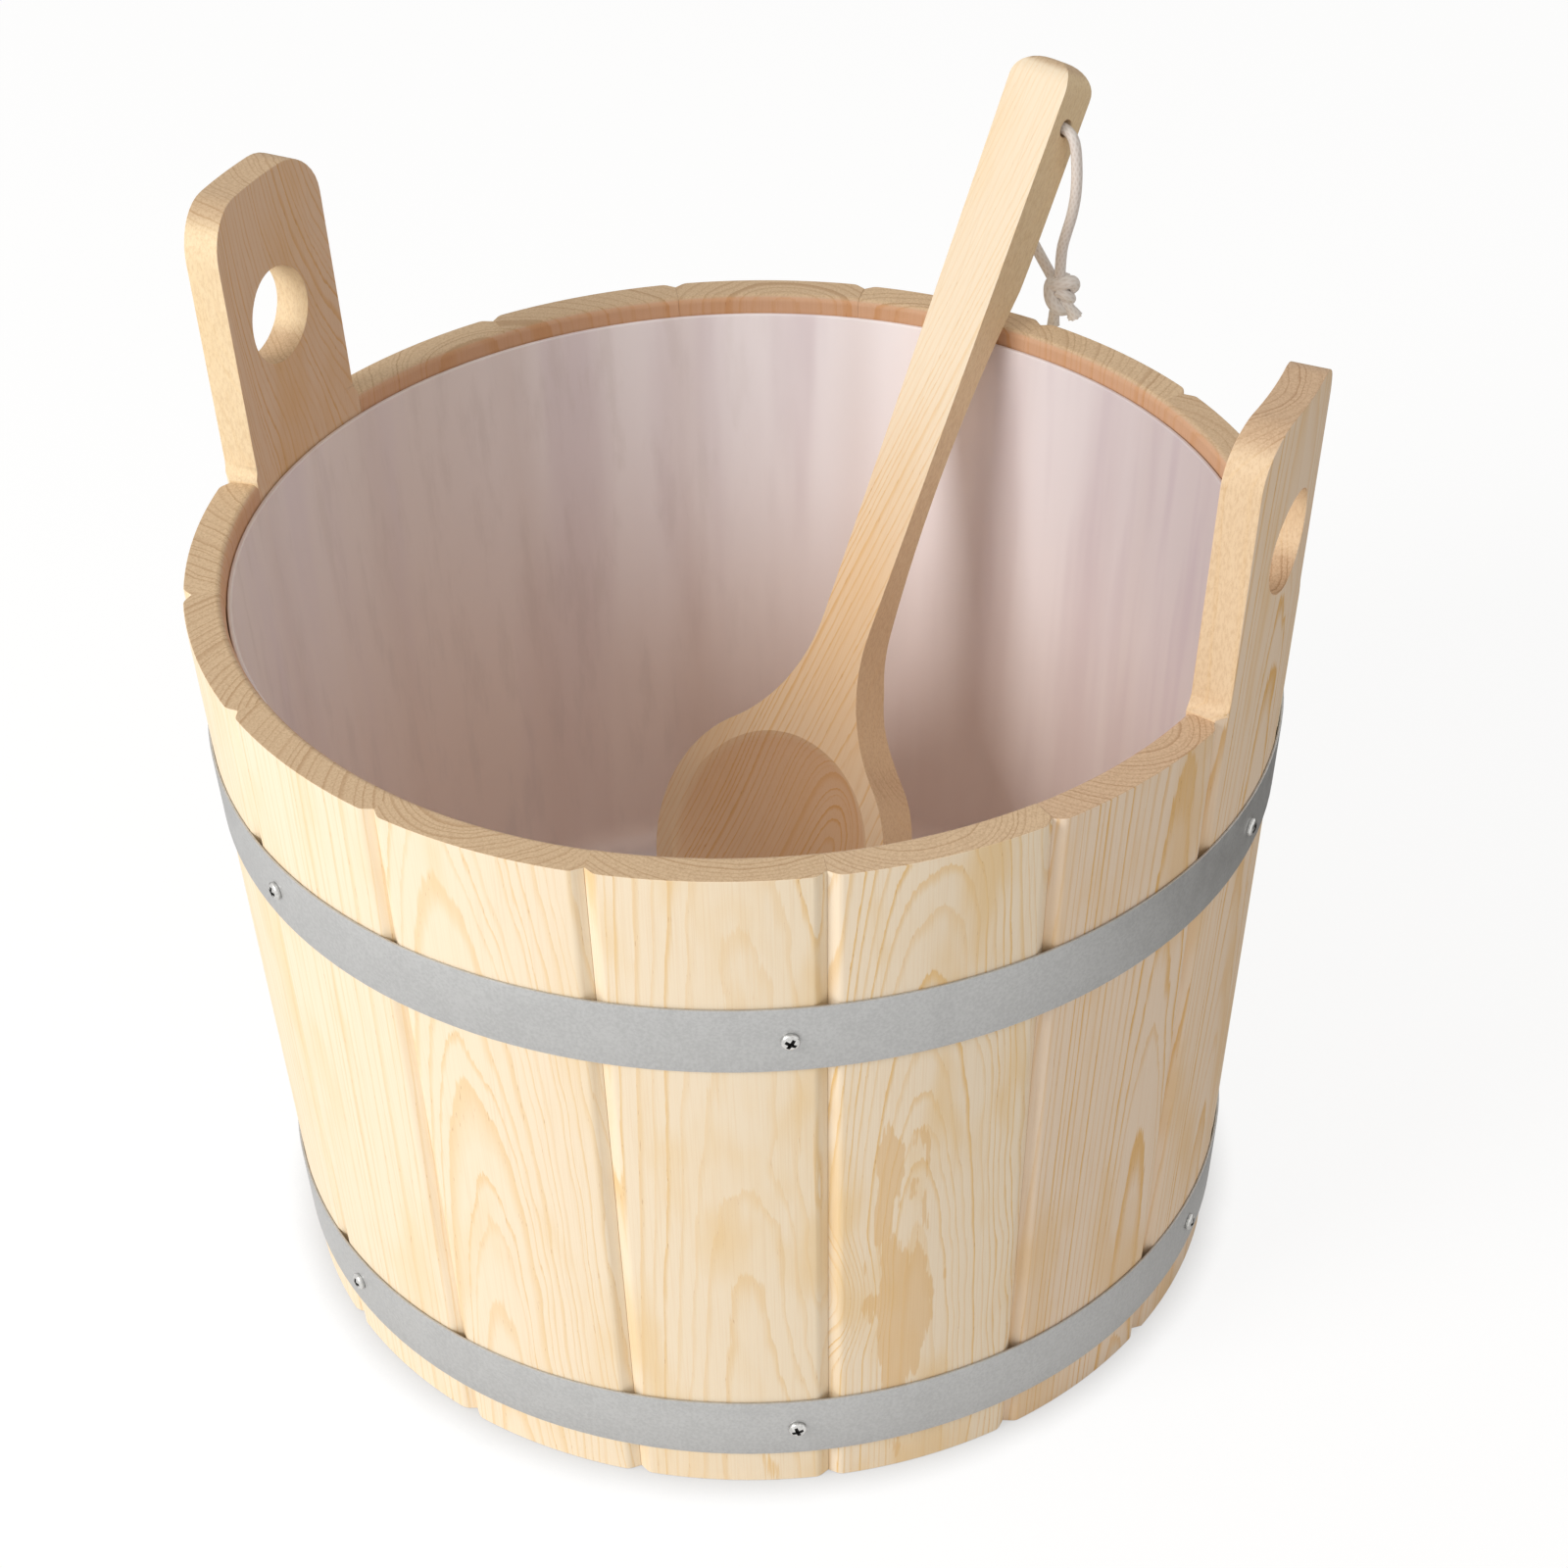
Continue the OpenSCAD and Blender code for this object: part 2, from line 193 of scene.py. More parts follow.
def seen_rays(tree):
    """1 for rays that show the background: from the camera, in gloss and through clear things."""
    rays = add_node(tree, "ShaderNodeLightPath").outputs
    shown = calc(tree, "MAXIMUM", rays["Is Camera Ray"], rays["Is Glossy Ray"])
    return calc(tree, "MAXIMUM", shown, rays["Is Transmission Ray"])


def make_floor():
    bm = bmesh.new()
    just_below = Matrix.Translation((0.0, 0.0, -floor_drop))
    bmesh.ops.create_grid(bm, x_segments=1, y_segments=1, size=floor_half, matrix=just_below)
    mesh = bpy.data.meshes.new("floor")
    bm.to_mesh(mesh)
    bm.free()
    floor = bpy.data.objects.new("floor", mesh)
    bpy.context.scene.collection.objects.link(floor)
    finish, tree, skin = new_finish("floor_white")
    skin.inputs["Base Color"].default_value = (0.82, 0.82, 0.82, 1.0)
    skin.inputs["Roughness"].default_value = 0.9
    skin.inputs["Specular IOR Level"].default_value = 0.0
    shadow = add_node(tree, "ShaderNodeBsdfDiffuse", Color=(0.16, 0.16, 0.16, 1.0))
    corner = add_node(tree, "ShaderNodeAmbientOcclusion", {"samples": 8}, Distance=corner_reach)
    brightness = calc(tree, "MULTIPLY_ADD", corner.outputs["AO"], open_glow - corner_glow, corner_glow)
    place = add_node(tree, "ShaderNodeTexCoord")
    split = add_node(tree, "ShaderNodeSeparateXYZ", Vector=place.outputs["Object"])
    gloss = add_node(tree, "ShaderNodeLightPath").outputs["Is Glossy Ray"]
    behind = ease_between(tree, split.outputs[1], dark_from, dark_to, 0.0, dark_amount)
    behind = calc(tree, "MULTIPLY", behind, gloss)
    brightness = calc(tree, "MULTIPLY", brightness, calc(tree, "SUBTRACT", 1.0, behind))
    glow = add_node(tree, "ShaderNodeEmission", Color=(1.0, 1.0, 1.0, 1.0), Strength=brightness)
    sheet = add_node(tree, "ShaderNodeAddShader")
    tree.links.new(shadow.outputs[0], sheet.inputs[0])
    tree.links.new(glow.outputs[0], sheet.inputs[1])
    swap = add_node(tree, "ShaderNodeMixShader", Fac=seen_rays(tree))
    tree.links.new(skin.outputs[0], swap.inputs[1])
    tree.links.new(sheet.outputs[0], swap.inputs[2])
    tree.links.new(swap.outputs[0], tree.nodes["Material Output"].inputs["Surface"])
    mesh.materials.append(finish)


make_floor()
print("floor laid", floor_drop / MM, "mm under the feet")

# %% Sky and lamp
sky_fill = 0.53
lamp_spot = (-1.17, -2.12, 1.55)
lamp_target = (0.0, 0.0, 0.15)
lamp_size = 1.3
lamp_power = 46.0


def make_sky(strength):
    sky = bpy.data.worlds.new("sky")
    sky.use_nodes = True
    tree = sky.node_tree
    back = tree.nodes["Background"]
    shown = seen_rays(tree)
    warm_fill = (1.0, 0.965, 0.915, 1.0)
    fill(tree, back.inputs["Color"], mix_paint(tree, shown, warm_fill, (1.0, 1.0, 1.0, 1.0)))
    fill(tree, back.inputs["Strength"], calc(tree, "MULTIPLY_ADD", shown, 1.0 - strength, strength))
    bpy.context.scene.world = sky


def make_lamp(name, spot, target, size, power):
    data = bpy.data.lights.new(name, "AREA")
    data.shape = "DISK"
    data.size = size
    data.energy = power
    lamp = bpy.data.objects.new(name, data)
    bpy.context.scene.collection.objects.link(lamp)
    lamp.location = spot
    lamp.rotation_mode = "QUATERNION"
    lamp.rotation_quaternion = (Vector(target) - Vector(spot)).to_track_quat("-Z", "Y")


make_sky(sky_fill)
make_lamp("key_lamp", lamp_spot, lamp_target, lamp_size, lamp_power)
print("studio: sky and key lamp")

# %% [markdown]
# ## The ladle's place
# The ladle leans in the bucket, so its parts are easiest to draw lying straight: x to the right, y to the
# back and z up the handle, from the middle of the hollow. One matrix then lays that drawing where the
# ladle is. The hanging cord starts at the hole near the handle's end, so the cord needs the same matrix.

# %% Ladle place
ladle_origin = Vector((-22.5107, 57.6496, 92.5705)) * MM
ladle_right = Vector((0.96362, -0.265425, -0.0314108))
ladle_back = Vector((0.216763, 0.84484, -0.489141))
ladle_along = Vector((0.156367, 0.464537, 0.871639))
ladle_turn = Matrix((ladle_right, ladle_back, ladle_along)).transposed()
ladle_place = Matrix.Translation(ladle_origin) @ ladle_turn.to_4x4()
handle_depth = 17.5 * MM
cord_hole_at = 281 * MM
cord_hole = ladle_place @ Vector((0.0, handle_depth / 2, cord_hole_at))
print("cord hole at", [round(c / MM, 1) for c in cord_hole], "mm")

# %% [markdown]
# ## Hanging cord
# A short limp cotton cord goes through the handle, and its two strands drop to one overhand knot. A cord
# is a fixed length of something soft, so we start from its middle line: a list of points that leaves the
# hole, bends over its edge and then hangs. The list is in millimetres from the middle of the hole. A
# smooth line through the points is swept with rings of corners, which bridge_loops joins into a tube. Each
# ring also gets a place on a UV map, so that the braid can follow the cord round every bend.

# %% Cord routes
cord_diameter = 4.0 * MM
cord_sides = 14
strand_steps = 4

front_points = [
    (0, 0, 0), (5.8, -1.6, -0.2), (11, -3, -0.6), (14.4, -4, -2.6), (16, -4.4, -7), (16.7, -4.6, -14),
    (16.8, -4.6, -20), (16.4, -4.5, -26), (15.2, -4.2, -33), (13.3, -3.6, -40), (11.8, -3.2, -46),
    (11.2, -3, -52), (11, -3, -60),
]
back_points = [
    (0, 0, 0), (-5.8, 1.6, 0.2), (-11, 3, 0.4), (-14.4, 4, -1.6), (-15.8, 4.4, -6), (-15.6, 4.6, -13),
    (-14, 4.4, -22), (-10.6, 3.6, -31), (-6.6, 2.6, -39), (-2.4, 1.2, -47), (2.1, -0.2, -53),
    (5.8, -1.4, -57.5), (9, -2.4, -61.5),
]
knot_spot = cord_hole + Vector((11.6, -2.6, -65.5)) * MM


def through_points(points, steps):
    """A smooth line through the points, with so many steps between each pair."""
    line = []
    ends = [points[0] * 2 - points[1], *points, points[-1] * 2 - points[-2]]
    for a, b, c, d in zip(ends, ends[1:], ends[2:], ends[3:]):
        for step in range(steps):
            t = step / steps
            line.append(
                b + (c - a) * (t / 2) + (a * 2 - b * 5 + c * 4 - d) * (t * t / 2)
                + (b * 3 - a - c * 3 + d) * (t * t * t / 2)
            )
    return line + [points[-1].copy()]


def line_length(points):
    return sum((b - a).length for a, b in zip(points, points[1:]))


front_line = through_points([cord_hole + Vector(p) * MM for p in front_points], strand_steps)
back_line = through_points([cord_hole + Vector(p) * MM for p in back_points], strand_steps)
print("strands:", [round(line_length(line) / MM, 1) for line in (front_line, back_line)], "mm")


# %% Tubes
def bridge(bm, rings):
    """Joins a row of vertex rings into a skin."""
    for low, high in zip(rings, rings[1:]):
        pair = []
        for ring in (low, high):
            for a, b in zip(ring, ring[1:] + ring[:1]):
                pair.append(bm.edges.get((a, b)) or bm.edges.new((a, b)))
        bmesh.ops.bridge_loops(bm, edges=pair)


def sweep_cord(bm, line, sides, radius_at, flute_at=None):
    """A closed tube along a line, with a UV map of turns round it and metres along it."""
    layer = bm.loops.layers.uv.verify()
    towards = [(b - a).normalized() for a, b in zip(line, line[1:])]
    towards.append(towards[-1])
    side = towards[0].orthogonal().normalized()
    rings, places, run = [], {}, 0.0
    for index, spot in enumerate(line):
        if index:
            side = towards[index - 1].rotation_difference(towards[index]) @ side
            run += (spot - line[index - 1]).length
        turn = Matrix((side, towards[index].cross(side), towards[index])).transposed().to_4x4()
        ring = bmesh.ops.create_circle(
            bm, segments=sides, radius=radius_at(index), matrix=Matrix.Translation(spot) @ turn)["verts"]
        for number, corner in enumerate(ring):
            places[corner] = (number / sides, run)
            if flute_at and number % 2:
                corner.co += (spot - corner.co) * flute_at(index)
        rings.append(ring)
    bridge(bm, rings)
    caps = [bm.faces.new(rings[0]), bm.faces.new(rings[-1])]
    for face in {f for ring in rings for corner in ring for f in corner.link_faces}:
        far = max(places[loop.vert][0] for loop in face.loops)
        for loop in face.loops:
            round_it, along_it = places[loop.vert]
            wraps = face not in caps and far - round_it > 0.5
            loop[layer].uv = (round_it + wraps, along_it)


def make_piece(name, bm, body, finish, replaces=(), smooth_angle=40):
    """Turns a finished bmesh into a piece that rides on a body and stands for its drawing nodes."""
    bmesh.ops.recalc_face_normals(bm, faces=bm.faces)
    mesh = bpy.data.meshes.new(name)
    bm.to_mesh(mesh)
    bm.free()
    mesh.polygons.foreach_set("use_smooth", [True] * len(mesh.polygons))
    mesh.set_sharp_from_angle(angle=math.radians(smooth_angle))
    piece = bpy.data.objects.new(name, mesh)
    bpy.context.scene.collection.objects.link(piece)
    mesh.materials.append(finish)
    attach(piece, body)
    if replaces:
        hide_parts(*replaces)
    return piece


print("tube tools ready")

# %% [markdown]
# ### Cotton
# The cord is a fine round braid of off-white cotton, soft and without any shine. Its yarns cross in two
# directions, so the bump is the higher of two slanted waves on the UV map, and the dips between the yarns
# are painted a little greyer, as shade. A trace of fuzz scatters light at grazing angles, which sheen gives.


# %% Cotton finish
def cotton_finish():
    finish, tree, skin = new_finish("cotton_braid")
    place = add_node(tree, "ShaderNodeTexCoord")
    split = add_node(tree, "ShaderNodeSeparateXYZ", Vector=place.outputs["UV"])
    yarns = 8.0
    pitch = 3.6 * MM
    turns = calc(tree, "MULTIPLY", split.outputs[0], yarns)
    along = calc(tree, "DIVIDE", split.outputs[1], pitch)
    waves = []
    for operation in ("ADD", "SUBTRACT"):
        phase = calc(tree, "MULTIPLY", calc(tree, operation, turns, along), math.tau)
        waves.append(calc(tree, "MULTIPLY_ADD", calc(tree, "COSINE", phase), 0.5, 0.5))
    yarn = calc(tree, "MAXIMUM", waves[0], waves[1])
    fuzz = noise(tree, stretch(tree, place.outputs["Object"], (2600, 2600, 2600)), 3.0, 0.6)
    # the dips between the yarns are painted greyer, as the shade that falls between them
    tone = mix_paint(tree, yarn, paint(225, 216, 209), paint(245, 240, 236))
    tone = mix_paint(tree, calc(tree, "MULTIPLY", fuzz, 0.30), tone, paint(222, 210, 198))
    fill(tree, skin.inputs["Base Color"], tone)
    skin.inputs["Roughness"].default_value = 0.92
    skin.inputs["Specular IOR Level"].default_value = 0.15
    skin.inputs["Sheen Weight"].default_value = 0.25
    height = calc(tree, "MULTIPLY_ADD", fuzz, 0.35, yarn)
    fill(tree, skin.inputs["Normal"], bump(tree, height, 0.40, 0.2 * MM))
    return finish


cotton = cotton_finish()
print("finish:", cotton.name)


# %% Strands
def make_strand(name, line, node):
    bm = bmesh.new()
    sweep_cord(bm, line, cord_sides, lambda index: cord_diameter / 2)
    return make_piece(name, bm, "ladle", cotton, (node,), smooth_angle=60)


front_strand = make_strand("front_strand", front_line, "cord_front_strand")
back_strand = make_strand("back_strand", back_line, "cord_back_strand")
print("strands made:", front_strand.name, back_strand.name)

# %% [markdown]
# ### Knot
# Both strands turn once round themselves in an overhand knot: a loop bulges at the upper right, a fat wrap
# comes down on the left, and two short tails stick out below, frayed where they were cut. It could be a
# ball with a bump on it, but the light falls between the turns of a real knot. So it is more of the same
# tube, a little fatter where two strands lie together. Each line is drawn as it looks from the front, in
# millimetres: to the right, towards us and up.

# %% Knot
knot_right = Vector((math.cos(camera_turn), math.sin(camera_turn), 0.0))
knot_front = Vector((math.sin(camera_turn), -math.cos(camera_turn), 0.0))
knot_steps = 5
knot_sides = 16
tail_sides = 18
fray_from = 0.55
yarn_groove = 0.22
loop_radius = 2.5 * MM
wrap_radius = 2.6 * MM
band_radius = 2.1 * MM
right_fray = 0.5
low_fray = 0.2
loop_points = [
    (-3.4, -1.0, 2.2), (-2.6, 1.2, 4.2), (0.6, 2.4, 5.6), (3.4, 1.6, 5.6), (4.3, 0.0, 3.4),
    (3.0, -1.2, 1.4), (0.0, -1.6, 0.2),
]
wrap_points = [
    (2.4, -2.6, 4.0), (-0.6, -2.4, 5.0), (-3.4, -0.6, 4.2), (-4.0, 1.2, 1.4), (-3.2, 2.4, -1.8),
    (-0.8, 2.4, -4.6), (2.0, 0.4, -5.6),
]
band_points = [(-1.8, 2.0, 2.4), (0.6, 3.0, 1.4), (2.8, 2.0, -0.4), (3.2, -0.4, -2.4), (1.0, -2.2, -3.6)]
right_tail_points = [
    (-0.6, 0.6, -1.0), (1.2, 1.8, -2.6), (3.0, 2.2, -4.6), (4.4, 2.2, -6.8), (5.0, 2.2, -8.2),
]
low_tail_points = [(-1.4, 0.0, -3.6), (-2.2, 0.4, -6.4), (-2.5, 0.4, -9.2), (-2.6, 0.4, -12.4)]


def knot_line(points):
    """A smooth line through points given to the right, towards us and up, from the knot's middle."""
    upward = Vector((0.0, 0.0, 1.0))
    steps = [knot_right * right + knot_front * front + upward * up for right, front, up in points]
    return through_points([knot_spot + step * MM for step in steps], knot_steps)


def add_tail(bm, points, spread):
    """A tail whose end opens out, with its yarns standing apart."""
    line = knot_line(points)
    last = len(line) - 1

    def frayed(index):
        return max(0.0, index / last - fray_from) / (1 - fray_from)

    sweep_cord(
        bm, line, tail_sides, lambda index: cord_diameter / 2 * (1 + spread * frayed(index)),
        lambda index: yarn_groove * frayed(index))


def make_knot():
    bm = bmesh.new()
    turns = ((loop_points, loop_radius), (wrap_points, wrap_radius), (band_points, band_radius))
    for points, radius in turns:
        sweep_cord(bm, knot_line(points), knot_sides, lambda index: radius)
    add_tail(bm, right_tail_points, right_fray)
    add_tail(bm, low_tail_points, low_fray)
    return make_piece(
        "cord_overhand_knot", bm, "ladle", cotton, ("cord_knot",), smooth_angle=60)


knot = make_knot()

# %% [markdown]
# ## Pine
# Every wooden piece is the same pale unvarnished pine, but no two boards show the same figure, because
# each was cut from another part of a log. So the grain is not painted on: we put the heart of a log
# somewhere behind each board and cut the board out of its growth rings. A board cut near the heart shows
# arches, one cut far to the side shows straight close lines, and the ends and edges agree by themselves.
# Each ring fades from cream to amber and ends sharply, as slow summer growth does. Three kinds of face are
# told apart by the way they face. Ends drink in more light and dirt, so they are darker. Sawn edges are
# rough, so the rings drown in a fine speckle. The sides that look into the bucket are darker brown, partly
# browned in the steam and partly painted shade, as the inside of the bucket lies in shade.

# %% Pine colours
spring_wood = paint(250, 232, 204)
summer_wood = paint(235, 188, 104)
honey_wood = paint(243, 210, 156)
streak_wood = paint(232, 196, 146)
fleck_wood = paint(186, 128, 72)
resin_wood = paint(232, 188, 122)
sawn_wood = paint(243, 218, 177)
sawn_dust = paint(213, 178, 130)
clean_end = paint(226, 197, 160)
dirty_end = paint(176, 142, 112)
end_ring = paint(172, 130, 90)
end_speck = paint(168, 130, 94)
steam_and_shade_brown = (0.70, 0.50, 0.41, 1.0)
print("pine colours ready")


# %% Places on a board
def board_space(tree, axes, corner):
    """Coordinates on a board in millimetres: x out of its face, y across it, z along it."""
    place = add_node(tree, "ShaderNodeTexCoord")
    mapping = add_node(tree, "ShaderNodeMapping", {"vector_type": "POINT"}, Vector=place.outputs["Object"])
    mapping.inputs["Scale"].default_value = (1 / MM, 1 / MM, 1 / MM)
    mapping.inputs["Rotation"].default_value = axes.to_euler("XYZ")
    mapping.inputs["Location"].default_value = -(axes @ corner) / MM
    return mapping.outputs[0], place.outputs["Normal"]


def looks_along(tree, facing, axis):
    """How squarely a face looks along a direction, from -1 to 1."""
    node = add_node(tree, "ShaderNodeVectorMath", {"operation": "DOT_PRODUCT"})
    fill(tree, node.inputs[0], facing)
    node.inputs[1].default_value = axis
    return node.outputs["Value"]


def spot_amount(tree, split, middle, sizes, jagged, roughness):
    """How near a point is to a spot on the board: 1 in its middle, 0 outside, with a jagged edge."""
    square = 0.0
    for axis, centre, size in zip((1, 2), middle, sizes):
        offset = calc(tree, "DIVIDE", calc(tree, "SUBTRACT", split.outputs[axis], centre), size)
        square = calc(tree, "MULTIPLY_ADD", offset, offset, square)
    reach = calc(tree, "MULTIPLY_ADD", jagged, roughness, calc(tree, "SQRT", square))
    return ease_between(tree, reach, 0.0, 1.0, 1.0, 0.0)


print("board tools ready")

# %% Growth rings
branch_sizes = (24.0, 36.0)


def ring_amount(tree, space, seed, heart_side, heart_depth, lean, gap, wander, straight_to, skew, branch):
    """How much summer wood shows, from 0 to 1, the place that other noises use, and the fibre."""
    split = add_node(tree, "ShaderNodeSeparateXYZ", Vector=space)
    shifted = add_node(tree, "ShaderNodeVectorMath", {"operation": "ADD"})
    fill(tree, shifted.inputs[0], space)
    shifted.inputs[1].default_value = (seed * 71.0, seed * 37.0, seed * 113.0)
    shifted = shifted.outputs[0]
    drift = calc(tree, "SUBTRACT", noise(tree, stretch(tree, shifted, (0.026, 0.026, 0.009)), 3.0), 0.5)
    fibre = calc(tree, "SUBTRACT", noise(tree, stretch(tree, shifted, (0.9, 0.9, 0.035)), 4.0, 0.65), 0.5)
    across = calc(tree, "SUBTRACT", split.outputs[1], heart_side)
    across = calc(tree, "MULTIPLY_ADD", split.outputs[2], -skew, across)
    across = calc(tree, "MULTIPLY_ADD", drift, wander * 2.5, across)
    height = calc(tree, "SMOOTH_MAX", split.outputs[2], straight_to, 40.0)
    depth = calc(tree, "MULTIPLY_ADD", height, lean, heart_depth)
    depth = calc(tree, "ADD", depth, split.outputs[0])
    radius = reach_of(tree, across, depth)
    if branch:
        near = spot_amount(tree, split, branch[:2], branch_sizes, drift, 0.5)
        radius = calc(tree, "MULTIPLY_ADD", near, branch[2], radius)
    radius = calc(tree, "MULTIPLY_ADD", fibre, gap * 0.42, radius)
    radius = calc(tree, "MULTIPLY_ADD", drift, wander * 2.0, radius)
    years = add_node(tree, "ShaderNodeTexNoise", {"noise_dimensions": "1D"}, Scale=0.16, Detail=1.0)
    fill(tree, years.inputs["W"], calc(tree, "ADD", radius, seed * 19.0))
    radius = calc(tree, "MULTIPLY_ADD", years.outputs[0], gap * 1.6, radius)
    year = calc(tree, "DIVIDE", radius, gap)
    season = calc(tree, "FRACT", year)
    amount = ease_between(tree, season, 0.58, 0.93)
    amount = calc(tree, "MULTIPLY", amount, ease_between(tree, season, 0.94, 1.0, 1.0, 0.0))
    luck = add_node(tree, "ShaderNodeTexWhiteNoise", {"noise_dimensions": "1D"})
    fill(tree, luck.inputs["W"], calc(tree, "ADD", calc(tree, "FLOOR", year), seed * 7.0))
    amount = calc(tree, "MULTIPLY", amount, calc(tree, "MULTIPLY_ADD", luck.outputs[0], 0.7, 0.3))
    return amount, shifted, fibre


print("growth rings ready")

# %% Pine finish
most_grime = 0.3


def planed_tone(tree, split, shifted, fibre, rings, streak, amber, honey, resin):
    """The colour of a planed face: rings, honey clouds, streaks, flecks and perhaps a resin patch."""
    cloud = noise(tree, stretch(tree, shifted, (0.045, 0.045, 0.014)), 2.5, 0.55)
    blotch = ease_between(tree, cloud, 0.48, 0.72)
    tone = mix_paint(tree, calc(tree, "MULTIPLY", rings, amber), spring_wood, summer_wood)
    tone = mix_paint(tree, calc(tree, "MULTIPLY", blotch, honey), tone, honey_wood)
    tone = mix_paint(tree, ease_between(tree, streak, 0.45, 0.75, 0.0, 0.20), tone, streak_wood)
    fleck = noise(tree, stretch(tree, shifted, (2.6, 2.6, 0.22)), 1.0)
    fleck = calc(tree, "MULTIPLY", ease_between(tree, fleck, 0.68, 0.76), rings)
    tone = mix_paint(tree, calc(tree, "MULTIPLY", fleck, 0.7), tone, fleck_wood)
    if resin:
        ragged = noise(tree, stretch(tree, shifted, (0.10, 0.10, 0.03)), 3.0)
        ragged = calc(tree, "MULTIPLY_ADD", calc(tree, "SUBTRACT", ragged, 0.5), 4.0, fibre)
        patch = ease_between(tree, spot_amount(tree, split, resin[:2], resin[2:], ragged, 1.0), 0.06, 0.16)
        tone = mix_paint(tree, calc(tree, "MULTIPLY", patch, 0.55), tone, resin_wood)
    return tone


def end_tone(tree, rings, speck, seed):
    """The colour of a cut end: darker, with clear rings, a speckle and its own share of grime."""
    grime = random.Random(seed).uniform(0.0, most_grime)
    tone = mix_paint(tree, grime, clean_end, dirty_end)
    tone = mix_paint(tree, calc(tree, "MULTIPLY", rings, 0.75), tone, end_ring)
    return mix_paint(tree, calc(tree, "MULTIPLY", speck, 0.4), tone, end_speck)


def pine_finish(
        name, axes, corner, seed, grain, wander=3.0, honey=0.3, straight_to=0.0, skew=0.0, inner_brown_and_shade=0.0,
        tint_and_shade=(1.0, 1.0, 1.0), fade=0.0, branch=None, resin=None):
    """Pine cut from a log: grain is heart_side, heart_depth, lean, ring gap and amber."""
    finish, tree, skin = new_finish(name)
    space, facing = board_space(tree, axes, corner)
    *heart, amber = grain
    rings, shifted, fibre = ring_amount(tree, space, seed, *heart, wander, straight_to, skew, branch)
    split = add_node(tree, "ShaderNodeSeparateXYZ", Vector=space)
    if fade:
        paler = ease_between(tree, split.outputs[2], 80.0, 230.0, 1.0, 1.0 - fade)
        rings = calc(tree, "MULTIPLY", rings, paler)
    streak = noise(tree, stretch(tree, shifted, (1.7, 1.7, 0.024)), 2.0, 0.6)
    tone = planed_tone(tree, split, shifted, fibre, rings, streak, amber, honey, resin)
    speck = noise(tree, stretch(tree, shifted, (1.3, 1.3, 0.4)), 4.0, 0.75)
    speck = ease_between(tree, speck, 0.40, 0.66)
    outward = looks_along(tree, facing, axes[0])
    sawn = ease_between(tree, calc(tree, "ABSOLUTE", outward), 0.35, 0.7, 1.0, 0.0)
    sawn_tone = mix_paint(tree, calc(tree, "MULTIPLY", speck, 0.5), sawn_wood, sawn_dust)
    tone = mix_paint(tree, calc(tree, "MULTIPLY", sawn, 0.88), tone, sawn_tone)
    cut = ease_between(tree, calc(tree, "ABSOLUTE", looks_along(tree, facing, axes[2])), 0.55, 0.9)
    tone = mix_paint(tree, calc(tree, "MULTIPLY", cut, 0.9), tone, end_tone(tree, rings, speck, seed))
    # the board's own tint, with painted shade on the boards turned away from the lamp
    tone = mix_paint(tree, 1.0, tone, (*tint_and_shade, 1.0), "MULTIPLY")
    # painted shade and steam browning: the sides that look into the bucket are darkened
    inner = ease_between(tree, outward, -0.85, -0.45, inner_brown_and_shade, 0.0)
    fill(tree, skin.inputs["Base Color"], mix_paint(tree, inner, tone, steam_and_shade_brown, "MULTIPLY"))
    fill(tree, skin.inputs["Roughness"], calc(tree, "MULTIPLY_ADD", streak, 0.16, 0.50))
    skin.inputs["Specular IOR Level"].default_value = 0.35
    height = calc(tree, "MULTIPLY_ADD", rings, 0.5, calc(tree, "MULTIPLY", streak, 0.7))
    height = calc(tree, "MULTIPLY_ADD", calc(tree, "MULTIPLY", speck, sawn), -0.6, height)
    fill(tree, skin.inputs["Normal"], bump(tree, height, 0.18, 0.25 * MM))
    return finish


print("pine recipe ready")

# %% [markdown]
# ## Staves
# A stave is a board whose edges are planed to the angle of the ring and whose outer corners are chamfered,
# so that two neighbours make a V groove between them. It is drawn as a plan outline: an arc inside, an arc
# outside and the two chamfers. A cube could be cut to shape, but the bucket is wider at the rim, so we
# extrude one outline through several heights into a board, with the groove that holds the bottom on the
# way. Then the rim's inner corner gets its big round, and the arrises at the V groove and at both ends are
# eased, as sandpaper leaves them.

# %% Stave sizes
rim_radius = 180 * MM
foot_radius = 163 * MM
rim_height = 265 * MM
wall = 12.5 * MM
rim_round = 2.5 * MM
groove_half = 3.5 * MM
groove_deep = 2.5 * MM
groove_ease = 1.1 * MM
end_ease = 0.5 * MM
stave_count = 16
half_stave = math.pi / stave_count
joint_gap = 0.1 * MM
chime_height = 20 * MM
plank_thick = 16 * MM
croze_deep = 4 * MM
croze_gap = 0.2 * MM
flare = math.atan2(rim_radius - foot_radius, rim_height)
arc_steps = 12
weld_gap = 0.002 * MM
touch = 0.05 * MM
square_arris = 40
chamfer_arris = 25


def outer_at(z):
    return foot_radius + math.tan(flare) * z


bottom_radius = outer_at(chime_height) - wall + croze_deep
print("flare", round(math.degrees(flare), 3), "degrees, bottom radius", round(bottom_radius / MM, 2), "mm")


# %% Stave outline
def on_arc(radius, y, z):
    return Vector((math.sqrt(radius * radius - y * y), y, z))


def stave_outline(z, inside, widest=1.0):
    """The plan of a board on the +X side at a height, no wider than a half width."""
    outside = outer_at(z)
    inner_half = min(inside * math.sin(half_stave) - joint_gap / 2, widest)
    bed_half = min((outside - groove_deep) * math.sin(half_stave) - joint_gap / 2, widest)
    mouth_half = min(outside * math.sin(half_stave) - groove_half, widest)
    steps = [2 * step / arc_steps - 1 for step in range(arc_steps + 1)]
    bed = outside - groove_deep
    points = [on_arc(inside, inner_half * s, z) for s in steps]
    points.append(on_arc(bed, bed_half, z))
    points += [on_arc(outside, mouth_half * -s, z) for s in steps]
    points.append(on_arc(bed, -bed_half, z))
    return points


